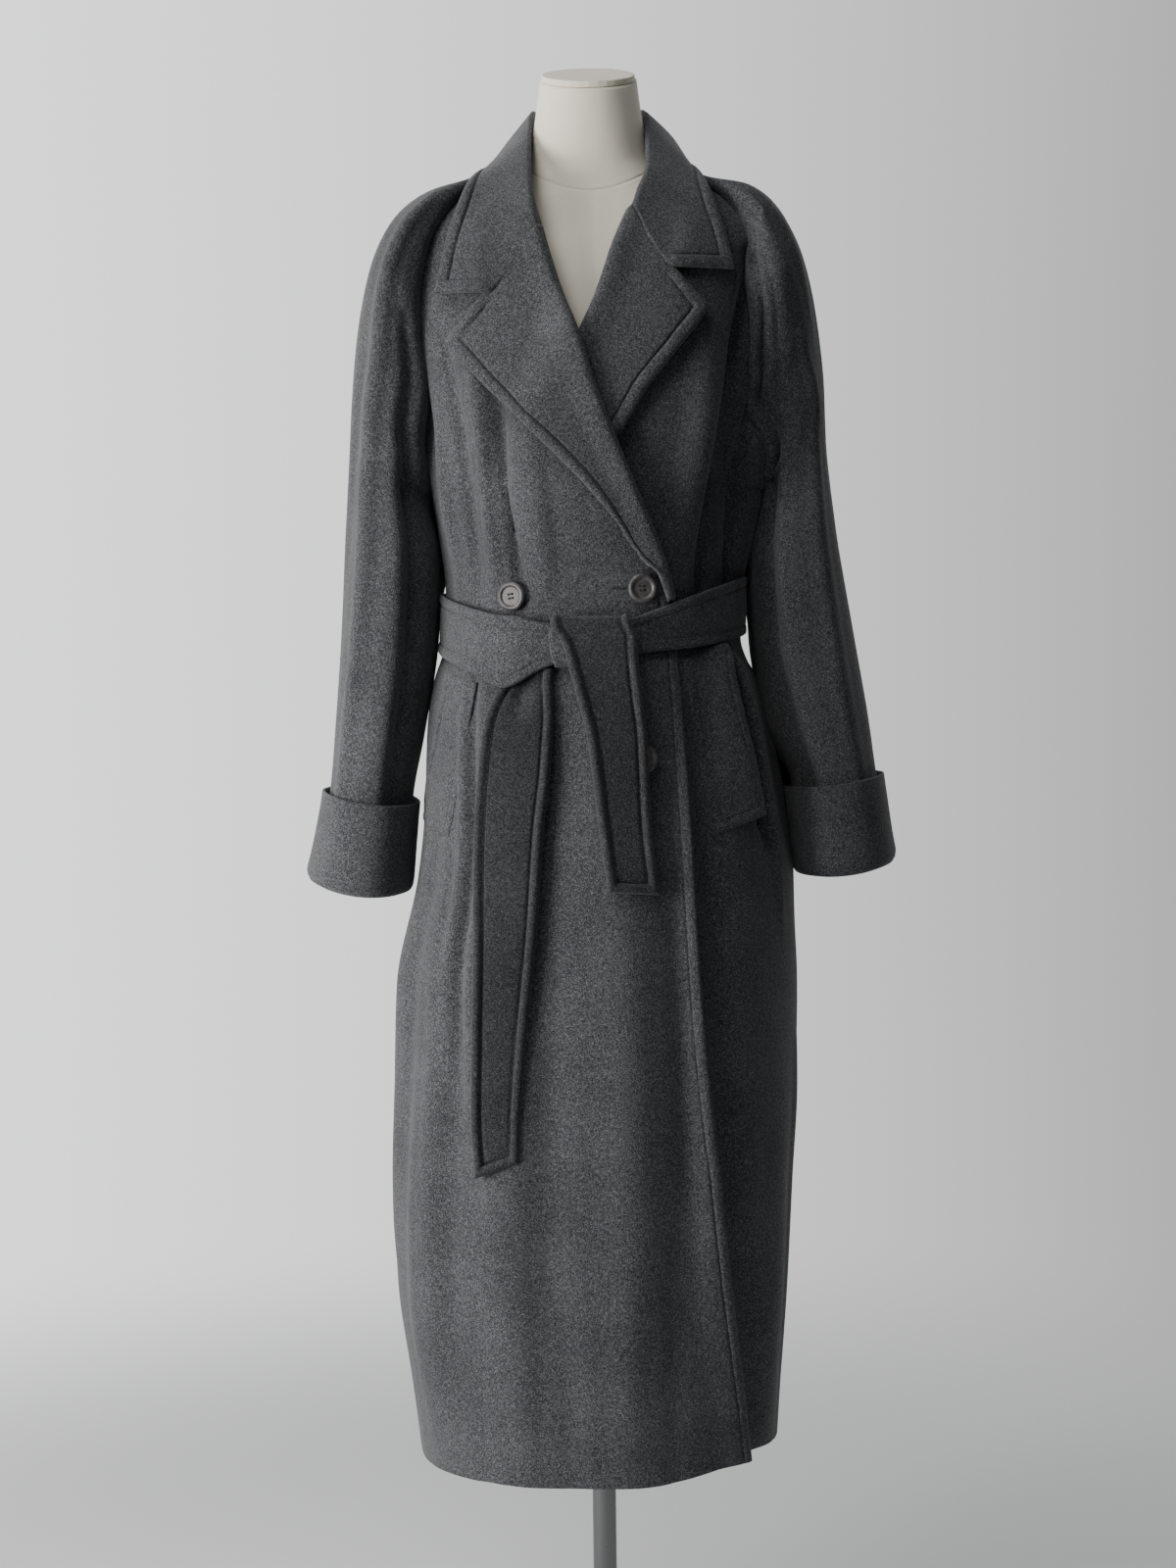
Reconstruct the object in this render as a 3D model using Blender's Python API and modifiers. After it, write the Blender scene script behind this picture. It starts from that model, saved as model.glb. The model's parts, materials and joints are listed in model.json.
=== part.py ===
"""Double-breasted wool coat with its own belt, on a limbless dress form and a steel stand.

Metres, +Z up, the coat faces -Y, the origin is the middle of the stand's flat underside.
Left and right are the wearer's, so the right front, which lies on top, is at -X.
Every cloth piece is a grid of points on one worked-out body surface, moved out by whole layers.
"""
import bpy
import bmesh
import math
import numpy as np

# ---------------------------------------------------------------- driving sizes
CLOTH = 0.0025          # wool coating, one layer
FACED = 0.0040          # cloth with its facing: lapels, collar, belt
GAP = 0.0010            # air between layers that lie on each other
LAID = 0.0018           # air under lapels and welts, which lie on curved panels
SEAM = 0.0004           # air between pieces that are sewn edge to edge
HEM = 0.233             # height of the hem above the floor
ARMPIT = 1.120          # height where side seam, raglan seams and underarm seam meet
NECK_EDGE = 1.405       # height where the free edges of the fronts end at the neck
BACK_NECK = 1.428       # height of the middle of the back's neck edge
EDGE_FLARE = 0.0060      # how far the free edge of the right front stands off below the belt
HEM_RISE = 0.013         # how far the hem rises towards that edge
BUTTON_DIAMETER = 0.0265
BUTTON_THICKNESS = 0.0048
BUTTON_HOLE = 0.0022
BUTTON_HOLE_SPREAD = 0.0026   # from the button's middle to each of its four holes
POLE_DIAMETER = 0.022
BASE_DIAMETER = 0.360
BASE_THICKNESS = 0.008
FORM_BOTTOM = 0.720

# Cloth sections, one row per height: half widths to the right and left side seam,
# depths of the front and back, and the power that squares the oval off (2 is an ellipse).
BODY_ROWS = (
    # height, right, left, front, back, square
    (0.233, 0.1695, 0.1600, 0.151, 0.150, 2.25),
    (0.290, 0.1775, 0.1620, 0.154, 0.154, 2.25),
    (0.390, 0.1905, 0.1675, 0.157, 0.160, 2.25),
    (0.482, 0.1925, 0.1735, 0.158, 0.164, 2.25),
    (0.574, 0.1895, 0.1815, 0.158, 0.166, 2.25),
    (0.666, 0.1865, 0.1845, 0.157, 0.166, 2.25),
    (0.767, 0.1655, 0.1790, 0.153, 0.161, 2.25),
    (0.822, 0.1595, 0.1715, 0.148, 0.154, 2.25),
    (0.905, 0.1560, 0.1580, 0.137, 0.141, 2.30),
    (0.945, 0.1500, 0.1490, 0.129, 0.131, 2.30),
    (0.985, 0.1385, 0.1355, 0.120, 0.119, 2.30),
    (1.030, 0.1375, 0.1360, 0.122, 0.114, 2.35),
    (1.080, 0.1430, 0.1420, 0.128, 0.117, 2.40),
    (1.120, 0.1500, 0.1480, 0.132, 0.121, 2.40),
    (1.170, 0.1590, 0.1570, 0.135, 0.127, 2.40),
    (1.220, 0.1720, 0.1690, 0.132, 0.130, 2.35),
    (1.270, 0.1830, 0.1790, 0.124, 0.130, 2.30),
    (1.310, 0.1880, 0.1840, 0.114, 0.126, 2.30),
    (1.350, 0.1880, 0.1840, 0.098, 0.117, 2.30),
    (1.380, 0.1700, 0.1670, 0.080, 0.103, 2.20),
    (1.400, 0.1430, 0.1400, 0.063, 0.091, 2.20),
    (1.415, 0.1150, 0.1130, 0.049, 0.081, 2.20),
    (1.430, 0.0850, 0.0840, 0.038, 0.073, 2.20),
)

# Large folds of the body cloth, one row each: place round the body in degrees from the
# front (minus is the wearer's right), half width in degrees, height that it is centred on,
# half length, and how far it stands out (minus is a hollow).
BODY_FOLDS = (
    # around, half_width, centre, half_length, out
    (38.0, 15.0, 1.165, 0.130, 0.0100),
    (56.0, 11.0, 1.160, 0.130, -0.0120),
    (72.0, 10.0, 1.130, 0.100, 0.0060),
    (-66.0, 13.0, 1.140, 0.100, 0.0060),
    (-56.0, 17.0, 0.420, 0.260, 0.0090),
    (66.0, 16.0, 0.400, 0.240, 0.0070),
    (-80.0, 12.0, 0.330, 0.130, -0.0060),
    (139.0, 17.0, 1.130, 0.120, 0.0090),
    (-141.0, 17.0, 1.125, 0.120, 0.0080),
    (150.0, 17.0, 0.600, 0.330, 0.0110),
    (177.0, 15.0, 0.640, 0.300, -0.0080),
    (-154.0, 16.0, 0.560, 0.320, 0.0100),
    (-129.0, 15.0, 0.600, 0.300, -0.0080),
    (123.0, 15.0, 0.560, 0.300, -0.0070),
)

# Raglan seams: how far from the middle the sleeve meets the fronts and the back.
RAGLAN_ROWS = (
    # height, front_right, front_left, back
    (1.120, 0.1500, 0.1480, 0.1490),
    (1.165, 0.1475, 0.1440, 0.1460),
    (1.220, 0.1485, 0.1400, 0.1440),
    (1.285, 0.1500, 0.1380, 0.1390),
    (1.335, 0.1450, 0.1440, 0.1290),
    (1.370, 0.1330, 0.1340, 0.1150),
    (1.395, 0.1110, 0.1120, 0.0970),
    (1.412, 0.0860, 0.0860, 0.0780),
)

# Edge of the right front: down from the neck along the lapel's roll, then the free edge.
RIGHT_EDGE_ROWS = (
    # height, across
    (0.233, 0.1230),
    (0.292, 0.1178),
    (0.463, 0.1027),
    (0.635, 0.0917),
    (0.859, 0.0789),
    (0.966, 0.0715),
    (1.0135, 0.0650),
    (1.0370, 0.0597),
    (1.1015, 0.0393),
    (1.1800, 0.0143),
    (1.2440, -0.0095),
    (1.2850, -0.0246),
    (1.3200, -0.0375),
    (1.3450, -0.0462),
    (1.3830, -0.0560),
    (1.4050, -0.0610),
)
# Edge of the left front, which the right one hides up to the crossing.
LEFT_EDGE_ROWS = (
    # height, across
    (0.233, -0.0950),
    (0.463, -0.0880),
    (0.859, -0.0780),
    (0.990, -0.0700),
    (1.0500, -0.0640),
    (1.1200, -0.0500),
    (1.1800, -0.0340),
    (1.2440, -0.0095),
    (1.2900, 0.0110),
    (1.3310, 0.0247),
    (1.3660, 0.0430),
    (1.4050, 0.0550),
)

# Lapels, one row each along the roll from the break to the gorge, as seen from the front:
# the roll, a point half way over, and the outer edge.
RIGHT_LAPEL_ROWS = (
    # roll_x, roll_z, mid_x, mid_z, edge_x, edge_z
    (0.0648, 1.0135, 0.0632, 1.0130, 0.0615, 1.0110),
    (0.0600, 1.0360, 0.0565, 1.0345, 0.0528, 1.0375),
    (0.0530, 1.0590, 0.0440, 1.0545, 0.0330, 1.0660),
    (0.0393, 1.1015, 0.0190, 1.1060, -0.0036, 1.1085),
    (0.0230, 1.1530, -0.0070, 1.1510, -0.0379, 1.1475),
    (0.0080, 1.1960, -0.0310, 1.1900, -0.0722, 1.1825),
    (-0.0095, 1.2440, -0.0520, 1.2280, -0.0950, 1.2070),
    (-0.0290, 1.2960, -0.0720, 1.2600, -0.1130, 1.2295),
    (-0.0420, 1.3310, -0.0830, 1.2830, -0.1262, 1.2433),
    (-0.0462, 1.3440, -0.0850, 1.2930, -0.1262, 1.2433),
)
LEFT_LAPEL_ROWS = (
    # roll_x, roll_z, mid_x, mid_z, edge_x, edge_z
    (-0.0480, 1.1250, -0.0460, 1.1250, -0.0440, 1.1230),
    (-0.0400, 1.1560, -0.0260, 1.1500, -0.0120, 1.1380),
    (-0.0270, 1.2000, -0.0030, 1.1820, 0.0190, 1.1545),
    (-0.0095, 1.2440, 0.0200, 1.2215, 0.0490, 1.2000),
    (0.0060, 1.2790, 0.0400, 1.2535, 0.0760, 1.2355),
    (0.0230, 1.3270, 0.0560, 1.2900, 0.0930, 1.2570),
    (0.0370, 1.3590, 0.0670, 1.3060, 0.1020, 1.2725),
)

# Collar, one row per section from the right front end round the back to the left front end:
# seam to the neck, roll (the highest line), half way down the fall, outer edge.
COLLAR_ROWS = (
    # seam_x, seam_y, seam_z, roll_x, roll_y, roll_z, mid_x, mid_y, mid_z, edge_x, edge_y, edge_z
    (-0.0440, -0.0950, 1.351, -0.0475, -0.1030, 1.3505, -0.0885, -0.1150, 1.2990, -0.1410, -0.0945, 1.2915),
    (-0.0525, -0.0700, 1.382, -0.0530, -0.0850, 1.3830, -0.0930, -0.0975, 1.3440, -0.1305, -0.0860, 1.3430),
    (-0.0575, -0.0480, 1.408, -0.0555, -0.0520, 1.4200, -0.0885, -0.0640, 1.4030, -0.1175, -0.0720, 1.3940),
    (-0.0605, -0.0100, 1.436, -0.0550, -0.0050, 1.4660, -0.0810, -0.0145, 1.4420, -0.1060, -0.0230, 1.4230),
    (-0.0605, 0.0330, 1.439, -0.0515, 0.0370, 1.4860, -0.0765, 0.0520, 1.4590, -0.0970, 0.0660, 1.4340),
    (-0.0385, 0.0600, 1.439, -0.0320, 0.0670, 1.4890, -0.0460, 0.0870, 1.4530, -0.0580, 0.0990, 1.4200),
    (0.0000, 0.0680, 1.435, 0.0000, 0.0745, 1.4900, 0.0000, 0.0920, 1.4500, 0.0000, 0.1030, 1.4100),
    (0.0385, 0.0600, 1.439, 0.0320, 0.0670, 1.4890, 0.0460, 0.0870, 1.4530, 0.0580, 0.0990, 1.4200),
    (0.0605, 0.0330, 1.439, 0.0515, 0.0370, 1.4860, 0.0755, 0.0520, 1.4600, 0.0960, 0.0660, 1.4350),
    (0.0605, -0.0100, 1.436, 0.0545, -0.0050, 1.4660, 0.0790, -0.0135, 1.4430, 0.1015, -0.0215, 1.4240),
    (0.0535, -0.0480, 1.408, 0.0510, -0.0520, 1.4200, 0.0790, -0.0630, 1.4040, 0.1110, -0.0710, 1.3945),
    (0.0450, -0.0700, 1.382, 0.0440, -0.0830, 1.3850, 0.0800, -0.0940, 1.3580, 0.1205, -0.0830, 1.3580),
    (0.0365, -0.0870, 1.368, 0.0390, -0.0965, 1.3670, 0.0710, -0.1150, 1.3160, 0.1300, -0.0945, 1.3120),
)

# Sleeves, one row per section from the neck to the wrist. Down to the armpit the inner point
# is the raglan seam at that height; below it the sleeve is a closed tube.
RIGHT_SLEEVE_ROWS = (
    # inner, inner_height, outer, outer_height, front, back, front_drop
    (0.0860, 1.412, 0.0820, 1.4265, 0.033, 0.078, 0.000),
    (0.1110, 1.395, 0.1120, 1.4105, 0.056, 0.090, 0.000),
    (0.1330, 1.370, 0.1480, 1.4000, 0.074, 0.101, 0.000),
    (0.1450, 1.335, 0.1800, 1.3770, 0.088, 0.107, 0.000),
    (0.1500, 1.285, 0.2040, 1.3310, 0.095, 0.106, 0.000),
    (0.1485, 1.220, 0.2180, 1.2620, 0.094, 0.099, 0.000),
    (0.1500, 1.165, 0.2235, 1.2000, 0.088, 0.091, 0.000),
    (0.1530, 1.118, 0.2265, 1.1500, 0.081, 0.084, 0.000),
    (0.1470, 1.060, 0.2310, 1.0800, 0.077, 0.080, 0.002),
    (0.1495, 0.985, 0.2355, 0.9950, 0.075, 0.077, 0.004),
    (0.1620, 0.900, 0.2420, 0.9100, 0.071, 0.073, 0.006),
    (0.1740, 0.836, 0.2480, 0.8480, 0.062, 0.064, 0.008),
    (0.1790, 0.757, 0.2655, 0.7700, 0.066, 0.068, 0.009),
)
LEFT_SLEEVE_ROWS = (
    # inner, inner_height, outer, outer_height, front, back, front_drop
    (0.0860, 1.412, 0.0810, 1.4265, 0.033, 0.078, 0.000),
    (0.1120, 1.395, 0.1080, 1.4100, 0.056, 0.090, 0.000),
    (0.1340, 1.370, 0.1430, 1.4045, 0.074, 0.101, 0.000),
    (0.1440, 1.335, 0.1720, 1.3850, 0.088, 0.107, 0.000),
    (0.1400, 1.285, 0.1940, 1.3480, 0.096, 0.106, 0.000),
    (0.1400, 1.220, 0.2100, 1.2870, 0.097, 0.099, 0.000),
    (0.1460, 1.165, 0.2170, 1.2250, 0.090, 0.091, 0.000),
    (0.1510, 1.118, 0.2190, 1.1650, 0.081, 0.084, 0.000),
    (0.1470, 1.060, 0.2260, 1.0900, 0.077, 0.080, 0.002),
    (0.1495, 0.985, 0.2405, 0.9970, 0.075, 0.077, 0.004),
    (0.1625, 0.900, 0.2545, 0.9100, 0.071, 0.073, 0.005),
    (0.1840, 0.848, 0.2610, 0.8580, 0.062, 0.064, 0.006),
    (0.1900, 0.770, 0.2735, 0.7810, 0.066, 0.068, 0.007),
)
SLEEVE_MIDDLE = 0.42     # place of the front and back bulge, from the seam to the overarm line
SLEEVE_SQUARE = 2.25
CUFF_FIRST_ROW = 11      # the sleeve row that the turned-back cuff reaches up to
CUFF_OUT_BOTTOM = CLOTH + GAP
CUFF_OUT_TOP = 0.0065

# Belt round the waist: place round the body, height and width of the band, and how far the
# middle of its thickness stands out from the body surface.
BELT_ROWS = (
    # around, height, width, out
    (-180.0, 1.0120, 0.055, 0.0044),
    (-130.0, 1.0100, 0.055, 0.0044),
    (-90.0, 1.0030, 0.055, 0.0046),
    (-56.0, 0.9870, 0.057, 0.0070),
    (-40.0, 0.9770, 0.060, 0.0125),
    (-28.0, 0.9675, 0.065, 0.0150),
    (-16.0, 0.9710, 0.045, 0.0126),
    (-6.0, 0.9740, 0.036, 0.0112),
    (8.0, 0.9780, 0.035, 0.0104),
    (20.0, 0.9850, 0.041, 0.0094),
    (36.0, 0.9940, 0.050, 0.0084),
    (60.0, 1.0060, 0.054, 0.0056),
    (90.0, 1.0160, 0.055, 0.0044),
    (130.0, 1.0140, 0.055, 0.0044),
    (180.0, 1.0120, 0.055, 0.0044),
)
# The belt's two hanging ends, down from the knot.
SHORT_TAIL_ROWS = (
    # height, across, width, out
    (0.998, -0.0033, 0.0645, 0.0250),
    (0.979, 0.0016, 0.0628, 0.0252),
    (0.945, 0.0070, 0.0564, 0.0254),
    (0.919, 0.0117, 0.0534, 0.0228),
    (0.889, 0.0171, 0.0503, 0.0188),
    (0.859, 0.0196, 0.0482, 0.0160),
    (0.807, 0.0237, 0.0445, 0.0125),
    (0.754, 0.0300, 0.0437, 0.0105),
)
LONG_TAIL_ROWS = (
    # height, across, width, out
    (0.950, -0.0560, 0.0400, 0.0072),
    (0.940, -0.0577, 0.0420, 0.0075),
    (0.923, -0.0607, 0.0490, 0.0100),
    (0.900, -0.0631, 0.0534, 0.0128),
    (0.859, -0.0660, 0.0536, 0.0136),
    (0.807, -0.0710, 0.0514, 0.0112),
    (0.722, -0.0766, 0.0488, 0.0084),
    (0.627, -0.0841, 0.0428, 0.0076),
    (0.550, -0.0880, 0.0385, 0.0074),
    (0.512, -0.0877, 0.0350, 0.0074),
)
SHORT_END_SLANT = -0.06  # rise of the short tail's cut end for each unit across
LONG_END_SLANT = 0.40
TAIL_END_REACH = 0.12    # length of tail over which its rows turn to that slant
KNOT_WIDTH = 0.064
KNOT_BELOW_BAND = 0.019  # the pad starts this far below the middle of the band
KNOT_THICKNESS = 0.007
KNOT_OUT = 0.0188

# Slanted welts, for the left pocket: hand opening (outer edge) and stitched inner edge.
WELT_THICKNESS = 0.0030
WELT_ROWS = (
    # outer_x, outer_z, inner_x, inner_z
    (0.1190, 0.974, 0.0810, 0.962),
    (0.1290, 0.930, 0.0905, 0.917),
    (0.1420, 0.868, 0.1030, 0.853),
    (0.1516, 0.819, 0.1130, 0.803),
)
RIGHT_WELT_START = 0.16  # the belt hides this share of the right welt's length

# Buttons: two rows, all on the outside of the right front.
BUTTON_PLACES = (
    # name, across, height, out (less than 0 where the faceted cloth lies inside its surface)
    ("button_1", -0.0714, 1.0186, 0.0003),
    ("button_2", 0.0413, 1.0237, 0.0003),
    ("button_3", -0.0757, 0.8706, 0.0003),
    ("button_4", 0.0404, 0.8706, -0.0003),
)

# Dress form, one row per section up to the neck cap; the neck leans and its sections tilt.
FORM_ROWS = (
    # height, half_width, front, back, tilt
    (0.720, 0.132, 0.084, 0.100, 0.0),
    (0.735, 0.142, 0.092, 0.109, 0.0),
    (0.780, 0.146, 0.097, 0.116, 0.0),
    (0.840, 0.142, 0.096, 0.114, 0.0),
    (0.900, 0.128, 0.088, 0.100, 0.0),
    (0.960, 0.112, 0.080, 0.083, 0.0),
    (1.000, 0.106, 0.078, 0.076, 0.0),
    (1.060, 0.114, 0.088, 0.083, 0.0),
    (1.130, 0.131, 0.108, 0.094, 0.0),
    (1.190, 0.142, 0.116, 0.102, 0.0),
    (1.250, 0.149, 0.108, 0.107, 0.0),
    (1.300, 0.156, 0.092, 0.105, 0.0),
    (1.340, 0.160, 0.075, 0.098, 0.0),
    (1.375, 0.151, 0.060, 0.086, 0.0),
    (1.395, 0.128, 0.051, 0.077, 2.0),
    (1.409, 0.104, 0.044, 0.069, 5.0),
    (1.419, 0.084, 0.040, 0.064, 10.0),
    (1.426, 0.070, 0.038, 0.060, 15.0),
    (1.431, 0.063, 0.038, 0.057, 20.0),
    (1.443, 0.054, 0.040, 0.052, 22.0),
    (1.475, 0.0495, 0.048, 0.041, 23.0),
    (1.507, 0.0455, 0.051, 0.032, 24.0),
)
FORM_SQUARE = 2.15
CAP_THICKNESS = 0.006
CAP_RADIUS = 0.0437
CAP_LEAN = 24.0          # degrees
FLANGE_DIAMETER = 0.070
FLANGE_THICKNESS = 0.008
SOCKET_DIAMETER = 0.044
SOCKET_HEIGHT = 0.040

# ---------------------------------------------------------------- grid sizes
BODY_HEIGHTS = np.concatenate(
    (np.linspace(0.0, 0.57, 9)[:-1], np.linspace(0.57, 0.70, 7)[:-1], np.linspace(0.70, 1.0, 10))
)
FRONT_COLUMNS = 13
BACK_COLUMNS = 16
SIDE_CROWD = 1.35         # above 1, a front's columns stand closer together at its side seam
SLEEVE_ROUND = 18
SLEEVE_STEPS = 19

# Materials: base colour, roughness, metallic.
MATERIALS = {
    "wool_charcoal": ((0.060, 0.062, 0.066), 0.95, 0.0),
    "button_horn": ((0.095, 0.085, 0.085), 0.35, 0.0),
    "form_linen": ((0.62, 0.58, 0.52), 0.85, 0.0),
    "steel": ((0.62, 0.62, 0.63), 0.28, 1.0),
}


# ---------------------------------------------------------------- curves through the tables
def column(rows, index):
    """One column of a table as an array."""
    return np.array([row[index] for row in rows], dtype=float)


def smooth(at, places, values):
    """Curve through (places, values) that never overshoots them: a monotone cubic."""
    at = np.clip(at, places[0], places[-1])
    step = np.diff(places)
    slope = np.diff(values) / step
    inner = np.zeros(len(places))
    rising = slope[:-1] * slope[1:] > 0
    safe = np.where(rising, slope[:-1] + slope[1:], 1.0)
    inner[1:-1] = np.where(rising, 2.0 * slope[:-1] * slope[1:] / safe, 0.0)
    inner[0], inner[-1] = slope[0], slope[-1]
    k = np.clip(np.searchsorted(places, at) - 1, 0, len(places) - 2)
    t = (at - places[k]) / step[k]
    return (
        values[k] * (1 + 2 * t) * (1 - t) ** 2
        + inner[k] * step[k] * t * (1 - t) ** 2
        + values[k + 1] * t ** 2 * (3 - 2 * t)
        + inner[k + 1] * step[k] * t ** 2 * (t - 1)
    )


def ramp(low, high, at):
    """0 below low, 1 above high, with a soft start and end."""
    t = np.clip((at - low) / (high - low), 0.0, 1.0)
    return t * t * (3 - 2 * t)


def power(value, exponent):
    """value to a power, keeping its sign."""
    return np.sign(value) * np.abs(value) ** exponent


# ---------------------------------------------------------------- the body surface
BODY_Z = column(BODY_ROWS, 0)


def body_sizes(height):
    """Half widths, depths and squareness of the cloth section at each height."""
    return [smooth(height, BODY_Z, column(BODY_ROWS, k)) for k in range(1, 6)]


def folds(around, height):
    """How far the large folds stand out: a sum of soft ridges and hollows."""
    total = np.zeros(np.broadcast(around, height).shape)
    for place, half_width, centre, half_length, out in BODY_FOLDS:
        across = (around - place + 180.0) % 360.0 - 180.0
        side = np.clip(across / half_width, -1, 1)
        along = np.clip((height - centre) / half_length, -1, 1)
        total += out * np.cos(np.pi * side / 2) ** 2 * np.cos(np.pi * along / 2) ** 2
    return total


def oval(around, height):
    """Point of the smooth section: a squared oval with its own size on each of four sides."""
    right, left, front, back, square = body_sizes(height)
    angle = np.radians(around)
    across = power(np.sin(angle), 2 / square) * np.where(np.sin(angle) < 0, right, left)
    deep = -power(np.cos(angle), 2 / square) * np.where(np.cos(angle) > 0, front, back)
    return np.stack(np.broadcast_arrays(across, deep, height), axis=-1)


def outward(surface, around, height):
    """Unit normal of a surface(around, height), from small central steps."""
    turn, rise = 0.4, 0.0008
    along = surface(around + turn, height) - surface(around - turn, height)
    up = surface(around, height + rise) - surface(around, height - rise)
    normal = np.cross(along, up)
    return normal / np.linalg.norm(normal, axis=-1, keepdims=True)


def folded(around, height):
    """The smooth section with its folds moved out along the normal."""
    return oval(around, height) + outward(oval, around, height) * folds(around, height)[..., None]


def body(around, height, out):
    """Point of the body surface, moved out by a distance."""
    out = np.broadcast_to(out, np.broadcast(around, height).shape)
    return folded(around, height) + outward(folded, around, height) * out[..., None]


def around_at(across, height):
    """Place round the front, in degrees, that lies at a distance across."""
    right, left, _, _, square = body_sizes(height)
    half = np.where(across < 0, right, left)
    return np.degrees(np.arcsin(np.clip(power(across / half, square / 2), -1, 1)))


def right_edge(height):
    """Distance across of the right front's edge."""
    return smooth(height, column(RIGHT_EDGE_ROWS, 0), column(RIGHT_EDGE_ROWS, 1))


def left_edge(height):
    """Distance across of the left front's hidden edge."""
    return smooth(height, column(LEFT_EDGE_ROWS, 0), column(LEFT_EDGE_ROWS, 1))


def overlap(across, height):
    """How far the right front is lifted: by the left front and the left lapel under it, and
    by the flare of its free edge below the belt."""
    under = ramp(-0.048, -0.008, across - left_edge(height)) * (1 - ramp(1.255, 1.31, height))
    lapel = ramp(1.05, 1.12, height)
    flare = EDGE_FLARE * ramp(-0.055, 0.0, across - right_edge(height)) * (1 - ramp(0.70, 0.86, height))
    return under * (CLOTH + GAP + lapel * (FACED + LAID)) + flare


# ---------------------------------------------------------------- making objects
def clear_scene():
    """Remove what the file opens with."""
    for item in list(bpy.data.objects):
        bpy.data.objects.remove(item, do_unlink=True)


def make_material(name):
    """Principled material from the MATERIALS table."""
    colour, roughness, metallic = MATERIALS[name]
    material = bpy.data.materials.new(name)
    material.use_nodes = True
    shader = material.node_tree.nodes["Principled BSDF"]
    shader.inputs["Base Color"].default_value = (*colour, 1.0)
    shader.inputs["Roughness"].default_value = roughness
    shader.inputs["Metallic"].default_value = metallic
    material.diffuse_color = (*colour, 1.0)
    return material


def new_object(name, mesh, collection, material):
    """Link a mesh under a name, with its material, smooth but for its sharp edges."""
    mesh.name = name
    mesh.shade_smooth()
    mesh.set_sharp_from_angle(angle=math.radians(40))
    mesh.materials.append(material)
    item = bpy.data.objects.new(name, mesh)
    collection.objects.link(item)
    return item


def grid_mesh(points, ring=False):
    """Open surface through a (rows, columns, 3) grid; ring joins the last column to the first.

    Points that meet are merged, so a tube may open into two edges further along.
    """
    rows, columns = points.shape[:2]
    work = bmesh.new()
    corners = [[work.verts.new(point) for point in line] for line in points]
    for r in range(rows - 1):
        for c in range(columns if ring else columns - 1):
            d = (c + 1) % columns
            work.faces.new((corners[r][c], corners[r][d], corners[r + 1][d], corners[r + 1][c]))
    bmesh.ops.remove_doubles(work, verts=work.verts, dist=0.00005)
    mesh = bpy.data.meshes.new("grid")
    work.to_mesh(mesh)
    work.free()
    return mesh


def cloth_object(name, points, thickness, collection, material, ring=False):
    """Cloth piece: its middle surface given a wall by Solidify, half to each side."""
    item = new_object(name, grid_mesh(points, ring), collection, material)
    wall = item.modifiers.new("wall", "SOLIDIFY")
    wall.thickness = thickness
    wall.offset = 0.0
    return item


def turned_object(name, profile, collection, material, steps=32, bevel=0.0):
    """Solid turned round Z from (radius, height) points, from the top axis to the bottom one."""
    mesh = bpy.data.meshes.new(name)
    mesh.from_pydata(
        [(radius, 0.0, height) for radius, height in profile],
        [(k, k + 1) for k in range(len(profile) - 1)],
        [],
    )
    item = new_object(name, mesh, collection, material)
    screw = item.modifiers.new("turn", "SCREW")
    screw.steps = steps
    screw.render_steps = steps
    screw.use_merge_vertices = True
    screw.merge_threshold = 0.00005
    if bevel:
        edge = item.modifiers.new("edge", "BEVEL")
        edge.width = bevel
        edge.segments = 2
        edge.limit_method = "ANGLE"
        edge.angle_limit = math.radians(50)
    return item


# ---------------------------------------------------------------- fronts and back
def seam_around(height, across, back=False):
    """Place round the body of a side seam and the raglan seam above it, as a positive angle."""
    place = np.where(height <= ARMPIT, 90.0, np.abs(around_at(across, height)))
    return 180.0 - place if back else place


def raglan_across(height, side, back=False):
    """Distance across of a raglan seam; side is -1 for the right, 1 for the left."""
    index = 3 if back else (1 if side < 0 else 2)
    return side * smooth(height, column(RAGLAN_ROWS, 0), column(RAGLAN_ROWS, index))


def seam_turn(height):
    """Half a seam's air, as an angle round the body."""
    return np.degrees(0.5 * SEAM / body_sizes(height)[3])


def front_panel(side, edge, columns, lift):
    """Grid of a front from its free edge to its side seam, hem to neck."""
    top_seam, top_edge = RAGLAN_ROWS[-1][0], NECK_EDGE
    edge_height = HEM + BODY_HEIGHTS * (top_edge - HEM)
    seam_height = HEM + BODY_HEIGHTS * (top_seam - HEM)
    edge_around = around_at(edge(edge_height), edge_height)
    seam = side * (seam_around(seam_height, raglan_across(seam_height, side)) - seam_turn(seam_height))
    share = 1 - (1 - np.linspace(0, 1, columns)[None, :]) ** SIDE_CROWD
    around = edge_around[:, None] * (1 - share) + seam[:, None] * share
    height = edge_height[:, None] * (1 - share) + seam_height[:, None] * share
    across = oval(around, height)[..., 0]
    height = height + HEM_RISE * ramp(0.03, 0.14, across) * (1 - ramp(HEM, HEM + 0.25, height))
    points = body(around, height, lift(across, height))
    return points if side > 0 else points[:, ::-1]


def back_panel(columns):
    """Grid of the back between its side seams, hem to back neck."""
    top_seam, top_middle = RAGLAN_ROWS[-1][0], BACK_NECK
    share = np.linspace(0, 1, columns)[None, :]
    seam_height = (HEM + BODY_HEIGHTS * (top_seam - HEM))[:, None]
    middle = (HEM + BODY_HEIGHTS * (top_middle - HEM))[:, None]
    bow = np.sin(np.pi * share) ** 0.7
    height = seam_height * (1 - bow) + middle * bow
    left = seam_around(seam_height, raglan_across(seam_height, 1, True), True) + seam_turn(seam_height)
    right = seam_around(seam_height, raglan_across(seam_height, -1, True), True) + seam_turn(seam_height)
    around = left * (1 - share) + (360.0 - right) * share
    return body(around, height, 0.0)


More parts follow.
